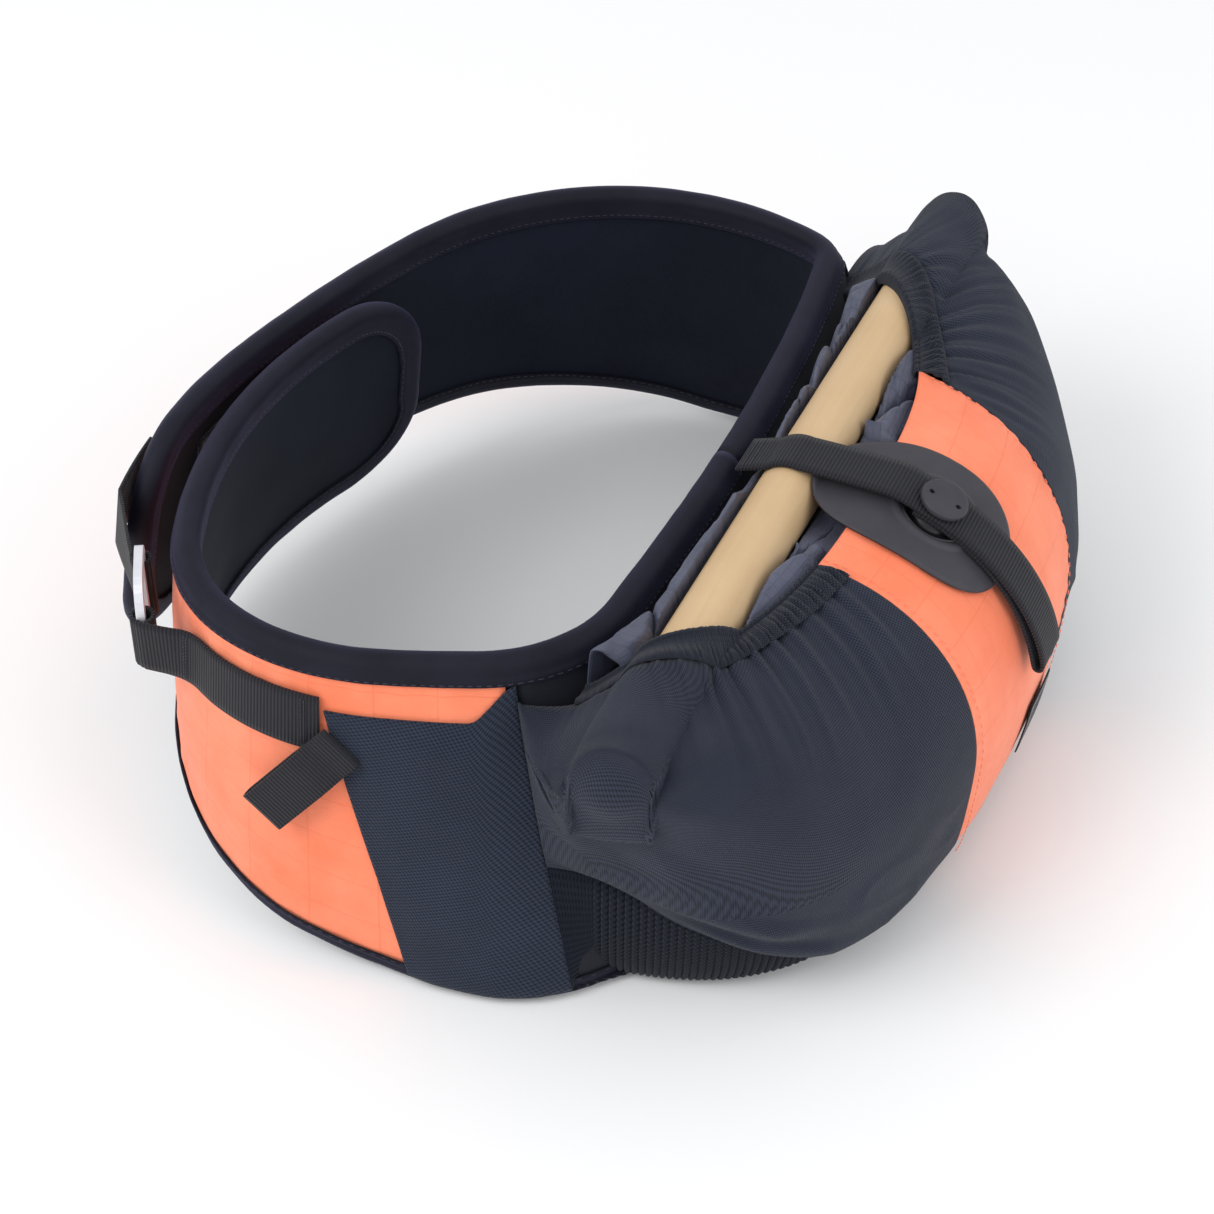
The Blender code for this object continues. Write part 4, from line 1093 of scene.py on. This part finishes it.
label_weave = material("woven_label", (0.015, 0.015, 0.022), 0.75, sheen=0.2, specular=0.2)
tree = label_weave.node_tree
split = node(tree, "SeparateXYZ")
tree.links.new(uv_of(tree), split.inputs[0])
border = maths(tree, "MAXIMUM", maths(tree, "ABSOLUTE", maths(tree, "SUBTRACT", split.outputs[0], 0.5)),
               maths(tree, "ABSOLUTE", maths(tree, "SUBTRACT", split.outputs[1], 0.5)))
frame_line = maths(tree, "MULTIPLY", maths(tree, "GREATER_THAN", border, 0.36),
                   maths(tree, "LESS_THAN", border, 0.40))
picks = grouped(tree, weave_group, Vector=uv_of(tree), Across=240.0, Along=300.0).outputs[0]
raised(label_weave, picks, 0.5, 0.3 * MM, mixed(tree, frame_line, (0.012, 0.012, 0.018), (0.42, 0.42, 0.45)))


def label_place(u, v):
    height = 0.60 + 0.11 * v
    lean = 0.02 * (0.5 - v)
    return pouch_wall(math.pi / 2 + 0.02 + lean + (u - 0.5) * 0.07, height, POUCH_CLOTH / 2 + 1.6 * MM)


label = cloth("pouch_woven_label", label_weave, 16, 16, label_place, 0.7 * MM, (1.0, 1.0))
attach(label, "belt")
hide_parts("pouch_label")

# ---- Packed canopy
# The parawing itself: thin coated ripstop, crushed into soft rolls on both sides of the bar. Its
# bulk fills the pouch below.

canopy_cloth = material("coated_canopy_ripstop", (0.062, 0.070, 0.115), 0.38, sheen=0.1, specular=0.5)
ripstop(canopy_cloth, (0.045, 0.050, 0.085), (0.085, 0.093, 0.145), 6 * MM, 70.0)
for name in ("canopy_core",):
    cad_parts[name].material_slots[0].material = canopy_cloth


def crush(x, y, seed):
    """Height of crushed cloth: rounded pillows parted by sharp creases."""
    twist = 16 * MM * noise.noise(Vector((x * 20, y * 20, seed)))
    ridge = abs(noise.noise(Vector(((x + twist) * 19, (y - twist) * 40, seed + 4))))
    fine = abs(noise.noise(Vector(((x - twist) * 48 + 3, (y + twist) * 75, seed + 8))))
    return 17 * MM * min(1.0, ridge * 2.2) ** 0.6 + 5 * MM * min(1.0, fine * 2) ** 0.7


def canopy_place(u, v):
    """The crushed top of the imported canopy, from the belt's back to the mouth's front."""
    across = u * 2 - 1
    x = MOUTH[0] + across * 143 * MM
    share = min(1.0, abs(across) * 143 / 150)
    reach = (MOUTH[2] + 4 * MM) * (1 - share ** 2.5) ** (1 / 2.5)
    back = on_belt(-1 if x < 0 else 1, min(abs(x), 150 * MM), 0.135, 9 * MM).y
    front = min(POUCH_Y - reach, back - 4 * MM)
    y = back + (front - back) * v
    edge = smooth(min(v, 1 - v), 0, 0.12)
    z = 138 * MM + crush(x, y, 3) * 1.15 * edge + 5 * MM * smooth(y, -2 * MM, 6 * MM)
    z -= 20 * MM * (1 - edge) + 12 * MM * smooth(abs(across), 0.85, 1.0)
    if abs(x) < 40 * MM:
        ceiling = 141 * MM if y < BAR_Y else 147 * MM
        z = min(z, ceiling + 12 * MM * smooth(abs(x), 14 * MM, 40 * MM) * (1 if y > BAR_Y else 0.4))
    z = min(z, 147 * MM + 8 * MM * smooth(y, front + 3 * MM, front + 16 * MM))
    aside = abs(y - BAR_Y)
    under = BAR_Z - math.sqrt(max(0.0, (BAR_RADIUS + 2 * MM) ** 2 - aside ** 2))
    if aside < BAR_RADIUS + 2 * MM:
        z = min(z, under)
    return Vector((x, y, z))


canopy = cloth("crushed_canopy", canopy_cloth, 300, 110, canopy_place, 1.0 * MM, (300 * MM, 110 * MM))
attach(canopy, "belt")
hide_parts("canopy_back_roll", "canopy_front_roll")

# ---- Snap plate
# A shield of soft moulded rubber on the front panel, its top resting on the bar. A round dish in it
# takes the strap's stud.

PLATE_HALF = 33 * MM
SNAP_ALONG = 29 * MM
PLATE_THICK = 2.4 * MM
PLATE_OUT = POUCH_CLOTH / 2 + 0.6 * MM + PLATE_THICK / 2
DROP = (MOUTH_Z - BELLY_Z + BELLY[2] - MOUTH[2]) / 2


def on_front(x, along, out):
    """Point over the front panel: along runs down from the mouth, out stands off its cloth."""
    v = max(0.0, along) / (DROP * math.pi)
    spot = pouch_wall(front_edge(v, abs(x), abs(x)), v, out)
    spot.x = x
    if along < 0:
        spot.y -= along
    return spot


def plate_place(u, v):
    """Rings from the snap hole to the outline, a shield with a rounded top and a blunt tip."""
    turn = u * 2 * math.pi
    side = math.copysign(abs(math.sin(turn)) ** 0.83, math.sin(turn))
    rise = math.copysign(abs(math.cos(turn)) ** 0.83, math.cos(turn))
    length = 53 * MM if rise > 0 else 37 * MM
    edge_x, edge_along = PLATE_HALF * side, -length * rise
    reach = math.hypot(edge_x, edge_along)
    hole = 15.6 * MM
    share = (hole + (reach - hole) * v) / reach
    x, along = edge_x * share, SNAP_ALONG + edge_along * share
    radius = reach * share
    out = PLATE_OUT + 0.9 * MM * bump(radius, 18 * MM, 2.4 * MM)
    out -= 0.4 * MM * (1 - smooth(radius, 15 * MM, 16.5 * MM))
    out -= 0.9 * MM * smooth(v, 0.93, 1.0)
    spot = on_front(x, along, out)
    over = spot - Vector((x, BAR_Y, BAR_Z))
    rest = BAR_RADIUS + PLATE_THICK / 2 + 0.6 * MM
    if over.length < rest:
        spot.z = BAR_Z + math.sqrt(rest * rest - over.y * over.y)
    return spot


plate = cloth("snap_plate_moulding", rubber, 96, 30, plate_place, 2.0 * MM, (0.2, 0.05), merge=True)
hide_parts("snap_plate")
FRONT_TILT = SNAP_ALONG / DROP


def on_snap(out):
    """The snap's own place: Z out of the front panel, X to the wearer's right."""
    return Matrix.Translation(on_front(0, SNAP_ALONG, out)) @ Matrix.Rotation(FRONT_TILT, 4, "X")


def turned(name, finish, profile, seat):
    """A moulded or turned piece from its profile of (radius, height)."""
    def place(u, w):
        radius, height = profile[round(u * (len(profile) - 1))]
        turn = w * 2 * math.pi
        return seat @ Vector((radius * math.cos(turn), radius * math.sin(turn), height))
    return lattice(name, finish, len(profile) - 1, 64, place, (0.02, 0.06), wrap=True, merge=True)


# The dish is coloured near black, far darker than the plate's rubber: painted shade for its recess and hole.
socket_rubber_painted_shade = material("socket_rubber_painted_shade", (0.006, 0.006, 0.008), 0.35, specular=0.4)
tree = socket_rubber_painted_shade.node_tree
raised(socket_rubber_painted_shade, patches_of(tree, 900.0), 0.15, 0.1 * MM,
       mixed(tree, patches_of(tree, 60.0), (0.004, 0.004, 0.006), (0.009, 0.009, 0.012)))
snap_socket = turned("snap_socket", socket_rubber_painted_shade, [(r * MM, h * MM) for r, h in (
    (16.4, -1.2), (16.6, 0.6), (16.0, 1.3), (15.2, 1.0), (14.0, -0.4), (12.4, -0.9), (11.2, -0.2),
    (10.4, 1.2), (9.6, 1.5), (8.8, 1.2), (8.2, -0.2), (8.0, -1.1), (0.01, -1.2))], on_snap(PLATE_OUT))
for piece in (plate, snap_socket):
    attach(piece, "belt")

# ---- Pouch strap with its button and stud
# Ribbed webbing is bar-tacked to the belt's top edge, crosses the bar, carries a two-hole rubber
# button on a snap stud, and doubles back underneath as a finger loop.

STRAP_THICK = 1.4 * MM
STRAP_WIDTH = 22 * MM
TAPE_OUT = 6.8 * MM
LOWER_OUT = PLATE_OUT + PLATE_THICK / 2 + 0.6 * MM + STRAP_THICK / 2
UPPER_OUT = LOWER_OUT + STRAP_THICK + 0.6 * MM
STRAP_ROOT = Vector((0, BACK_Y - TAPE_OUT - 1.5 * MM, BELT_HEIGHT + 1.2 * MM))
STRAP_END = 106 * MM

webbing = material("ribbed_webbing", (0.010, 0.010, 0.015), 0.65, sheen=0.08, specular=0.25)
tree = webbing.node_tree
weave = uv_of(tree)
split = node(tree, "SeparateXYZ")
tree.links.new(weave, split.inputs[0])
wave = maths(tree, "SINE", maths(tree, "MULTIPLY", split.outputs[0], 3900.0))
rib = maths(tree, "MULTIPLY_ADD", wave, 0.5, 0.5)
warp = grouped(tree, weave_group, Vector=weave, Across=7800.0, Along=5200.0).outputs[0]
height = maths(tree, "ADD", rib, maths(tree, "MULTIPLY", warp, 0.3))
# The colour follows the ribs' height: painted shade darkens the grooves between the ribs.
raised(webbing, height, 0.75, 0.5 * MM, mixed(tree, height, (0.002, 0.002, 0.004), (0.016, 0.016, 0.023)))


def strap_route(u):
    """Middle line of the pouch strap: over the bar to the button, down to its loop and back."""
    over_top = Vector((0, BAR_Y, BAR_Z + BAR_RADIUS + STRAP_THICK / 2 + 0.6 * MM))
    past_bar = Vector((0, BAR_Y - 14 * MM, over_top.z + 0.4 * MM))
    if u < 0.1:
        return STRAP_ROOT + (over_top - STRAP_ROOT) * (u / 0.1)
    if u < 0.15:
        return over_top + (past_bar - over_top) * ((u - 0.1) / 0.05)
    start = SNAP_ALONG - 20 * MM
    if u < 0.25:
        return past_bar + (on_front(0, start, UPPER_OUT + 2 * MM) - past_bar) * ((u - 0.15) / 0.1)
    if u < 0.6:
        t = (u - 0.25) / 0.35
        out = UPPER_OUT + 2 * MM * (1 - smooth(t, 0, 0.2)) + smooth(t, 0.3, 1) * 2.5 * MM
        return on_front(0, start + (STRAP_END - start) * t, out)
    low = LOWER_OUT + 0.2 * MM
    high = UPPER_OUT + 2.5 * MM
    if u < 0.68:
        turn = math.pi * (u - 0.6) / 0.08
        half = (high - low) / 2
        return on_front(0, STRAP_END + half * math.sin(turn), (high + low) / 2 + half * math.cos(turn))
    t = (u - 0.68) / 0.32
    return on_front(0, STRAP_END + (SNAP_ALONG - 9 * MM - STRAP_END) * t, low)


def route_walk(route, steps=400):
    """Lengths along a route, so that its ribs keep an even pitch: gives share -> u."""
    marks = [0.0]
    for i in range(steps):
        marks.append(marks[-1] + (route((i + 1) / steps) - route(i / steps)).length)

    def at(share):
        want = share * marks[-1]
        low = 0
        high = steps
        while high - low > 1:
            middle = (low + high) // 2
            if marks[middle] <= want:
                low = middle
            else:
                high = middle
        span = marks[low + 1] - marks[low]
        return (low + ((want - marks[low]) / span if span > 0 else 0)) / steps
    return at, marks[-1]


strap_at, strap_length = route_walk(strap_route)


def strap_place(share, v):
    u = strap_at(share)
    spot = (strap_route(max(0, u - 0.012)) + strap_route(u) * 2 + strap_route(min(1, u + 0.012))) / 4
    rest = BAR_RADIUS + STRAP_THICK / 2 + 0.9 * MM
    if abs(spot.y - BAR_Y) < rest:
        spot.z = max(spot.z, BAR_Z + math.sqrt(rest ** 2 - (spot.y - BAR_Y) ** 2))
    spot.x = (v - 0.5) * STRAP_WIDTH
    return spot


strap = cloth("pouch_strap_webbing", webbing, 260, 6, strap_place, STRAP_THICK, (strap_length, STRAP_WIDTH))
tack = stitch_row("strap_bar_tack", thread, 22,
                  lambda t: (strap_place(0.012 + 0.012 * (int(t * 22) % 2), 0.08 + 0.84 * t)
                             + Vector((0, 0, 0.95 * MM))),
                  lambda t: Vector((0, 0, 1)), length=1.6 * MM)
for piece in (strap, tack):
    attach(piece, "pouch_strap")
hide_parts("pouch_strap")

STACK_TOP = UPPER_OUT + 0.4 * MM + STRAP_THICK / 2 + 0.3 * MM
button = turned("strap_button_moulding", rubber, [(r * MM, h * MM) for r, h in (
    (0.01, 2.5), (4, 2.55), (8.2, 2.7), (8.9, 3.2), (9.6, 3.4), (10.2, 3.1), (10.5, 2.4), (10.5, 1.0),
    (10.1, 0.3), (9.2, 0.05), (3, 0.0), (3, -4.2), (0.01, -4.2))], on_snap(STACK_TOP))
BUTTON_HOLE = 1.15 * MM
holes = bmesh.new()
for run in (-6.3, 6.3):
    bmesh.ops.create_cone(holes, cap_ends=True, segments=24, radius1=BUTTON_HOLE, radius2=BUTTON_HOLE,
                          depth=6 * MM,
                          matrix=on_snap(STACK_TOP + 4 * MM) @ Matrix.Translation((0, run * MM, -1.2 * MM)))
cutter = piece_from("button_hole_cutter", holes, rubber)
drill = button.modifiers.new("holes", "BOOLEAN")
drill.object = cutter
drill.solver = "EXACT"
settle(button)
bpy.data.objects.remove(cutter)
stud = turned("snap_stud_moulding", rubber, [(r * MM, h * MM) for r, h in (
    (0.01, 2.4), (4.8, 2.4), (5.9, 2.0), (6.3, 1.2), (5.9, 0.5), (5.2, 0.0), (0.01, 0.0))],
    on_snap(POUCH_CLOTH / 2 + 0.3 * MM))
for piece, cad in ((button, "strap_button"), (stud, "snap_stud")):
    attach(piece, "pouch_strap")
    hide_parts(cad)

# ---- Hook buckle and its webbing
# A flat satin metal hook, bent like a G, hangs on a loop of webbing at the outer wing's end. Its
# open arm drops into the loop of the waist strap.

WAIST_Z = 120 * MM
HOOK_TALL, HOOK_WIDE, HOOK_BAR, ARM = 46 * MM, 34 * MM, 5 * MM, 6 * MM
HOOK_POINT, HOOK_NORMAL = plan_line(-1, 330 * MM)
HOOK_POINT = HOOK_POINT + HOOK_NORMAL * 20 * MM
HOOK_POINT.z = WAIST_Z + 4 * MM
HOOK_RUN = Vector((-HOOK_NORMAL.y, HOOK_NORMAL.x, 0))

satin = material("satin_metal", (0.72, 0.72, 0.76), 0.42)
satin.node_tree.nodes["Principled BSDF"].inputs["Metallic"].default_value = 0.45
tree = satin.node_tree
brushed = node(tree, "Mapping")
feed(tree, brushed, Vector=node(tree, "TexCoord").outputs["Object"], Scale=(1.0, 1.0, 14.0))
scratch = node(tree, "TexNoise")
feed(tree, scratch, Vector=brushed.outputs[0], Scale=260.0, Detail=4.0)
worn = node(tree, "MapRange")
feed(tree, worn, Value=scratch.outputs["Fac"], To_Min=0.36, To_Max=0.5)
raised(satin, scratch.outputs["Fac"], 0.08, 0.1 * MM,
       mixed(tree, scratch.outputs["Fac"], (0.66, 0.66, 0.71), (0.80, 0.80, 0.84)), worn.outputs[0])
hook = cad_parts["hook_buckle"]
hook.material_slots[0].material = satin
rounded = hook.modifiers.new("rounded_edges", "BEVEL")
rounded.width = 0.9 * MM
rounded.segments = 3
rounded.limit_method = "ANGLE"


def hook_spot(run, out=0.0):
    """Plan point beside the hook: run is measured from its webbing bar towards the flank."""
    return HOOK_POINT + HOOK_RUN * run + HOOK_NORMAL * out


RIBBON_OFF = HOOK_BAR / 2 + 0.6 * MM + 0.9 * MM
RIBBON_TALL = HOOK_TALL - 2 * ARM - 4 * MM


def ribbon_route(u):
    near = hook_spot(-3 * MM, RIBBON_OFF)
    sewn_out = TAPE_OUT + 0.5 * MM + 0.6 * MM + 0.6 * MM
    if u < 0.3:
        return on_belt(1, wing_end(1) - 34 * MM + u / 0.3 * 35 * MM, HOOK_POINT.z, sewn_out)
    if u < 0.6:
        leave = on_belt(1, wing_end(1) + 1 * MM, HOOK_POINT.z, sewn_out)
        return leave + (near - leave) * ((u - 0.3) / 0.3)
    turn = math.radians(90 - 250 * (u - 0.6) / 0.4)
    return hook_spot(RIBBON_OFF * math.cos(turn), RIBBON_OFF * math.sin(turn))


ribbon_at, ribbon_length = route_walk(ribbon_route)


def ribbon_place(share, v):
    u = ribbon_at(share)
    z = HOOK_POINT.z + (v - 0.5) * RIBBON_TALL
    spot = ribbon_route(u)
    if u < 0.6:
        lean = on_belt(1, wing_end(1) - 15 * MM, z) - on_belt(1, wing_end(1) - 15 * MM, HOOK_POINT.z)
        spot = spot + Vector((lean.x, lean.y, 0)) * (1 - smooth(u, 0.3, 0.6))
    spot.z = z
    return spot


ribbon = cloth("hook_ribbon_webbing", webbing, 90, 8, ribbon_place, 1.2 * MM, (ribbon_length, RIBBON_TALL))
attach(ribbon, "right_wing")
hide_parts("hook_ribbon")

# ---- Waist strap
# A 25 mm ribbed web is sewn along the inner wing up to the flank seam. Its free end is folded into
# a loop, held by a bar tack, that the hook's arm drops into.

WAIST_WIDTH = 25 * MM
ARM_RUN = HOOK_WIDE - HOOK_BAR / 2 - ARM / 2
LOOP_OFF = ARM / 2 + 0.8 * MM + 1.2 * MM
LEAVE_BELT = 292 * MM


def waist_route(u):
    arrive = hook_spot(ARM_RUN + 3 * MM, LOOP_OFF)
    if u < 0.5:
        start = seam(WAIST_Z) + 3 * MM
        return on_belt(-1, start + (LEAVE_BELT - start) * u / 0.5, WAIST_Z, 8.3 * MM)
    if u < 0.7:
        leave = on_belt(-1, LEAVE_BELT, WAIST_Z, 8.3 * MM)
        return leave + (arrive - leave) * ((u - 0.5) / 0.2)
    turn = math.radians(80 + 260 * (u - 0.7) / 0.3)
    return hook_spot(ARM_RUN + LOOP_OFF * math.cos(turn), LOOP_OFF * math.sin(turn))


waist_at, waist_length = route_walk(waist_route)


def waist_place(share, v, lift=0.0):
    u = waist_at(share)
    z = WAIST_Z + (v - 0.5) * WAIST_WIDTH
    near = [waist_route(min(1.0, max(0.0, u + step * 0.02))) for step in (-2, -1, 0, 1, 2)]
    spot = sum(near, Vector()) / 5 if 0.4 < u < 0.8 else waist_route(u)
    if u < 0.6:
        along = 230 * MM + 62 * MM * min(1.0, u / 0.5)
        lean = on_belt(-1, along, z, lift) - on_belt(-1, along, WAIST_Z)
        spot = spot + Vector((lean.x, lean.y, 0)) * (1 - smooth(u, 0.5, 0.6))
    spot.z = z
    return spot


waist = cloth("waist_strap_webbing", webbing, 160, 8, waist_place, 1.6 * MM, (waist_length, WAIST_WIDTH))
for name, share in (("seam", 0.05), ("loop", 0.58)):
    row = stitch_row("waist_" + name + "_bar_tack", thread, 26,
                     lambda t, share=share: waist_place(share + 0.012 * (int(t * 26) % 2), 0.06 + 0.88 * t,
                                                        1.0 * MM),
                     lambda t, share=share: waist_place(share, 0.5, 4 * MM) - waist_place(share, 0.5),
                     length=1.6 * MM)
    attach(row, "left_wing")
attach(waist, "left_wing")
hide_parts("waist_strap")

# ---- Pull tab
# A doubled length of 20 mm webbing, caught in the slanting seam, that the wearer pulls to draw the
# belt tight.

TAB_LENGTH, TAB_GAP, TAB_WIDTH = 50 * MM, 5 * MM, 20 * MM
TAB_ROOT = on_belt(-1, seam(113 * MM) - 4 * MM, 113 * MM, 10.5 * MM)
TAB_RUN = Vector((-0.26, 0.62, -0.72)).normalized()
TAB_NORMAL = TAB_RUN.cross(Vector((0.0, 0.70, 0.66))).normalized()
TAB_SIDE = TAB_NORMAL.cross(TAB_RUN)


def tab_route(u):
    straight = TAB_LENGTH - TAB_GAP / 2
    if u < 0.4:
        run, off = straight * u / 0.4, TAB_GAP / 2 * smooth(u, 0, 0.2)
    elif u < 0.6:
        turn = math.pi * (0.5 - (u - 0.4) / 0.2)
        run, off = straight + TAB_GAP / 2 * math.cos(turn), TAB_GAP / 2 * math.sin(turn)
    else:
        run, off = straight * (1 - u) / 0.4, -TAB_GAP / 2 * smooth(1 - u, 0, 0.2)
    off += 0.8 * MM * math.copysign(1 - smooth(abs(off), 0, 1 * MM), 0.5 - u)
    return TAB_ROOT + TAB_RUN * run + TAB_NORMAL * off


tab_at, tab_length = route_walk(tab_route)
tab = cloth("pull_tab_webbing", webbing, 110, 6,
            lambda share, v: tab_route(tab_at(share)) + TAB_SIDE * (v - 0.5) * TAB_WIDTH,
            1.3 * MM, (tab_length, TAB_WIDTH))
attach(tab, "pull_tab")
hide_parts("pull_tab")
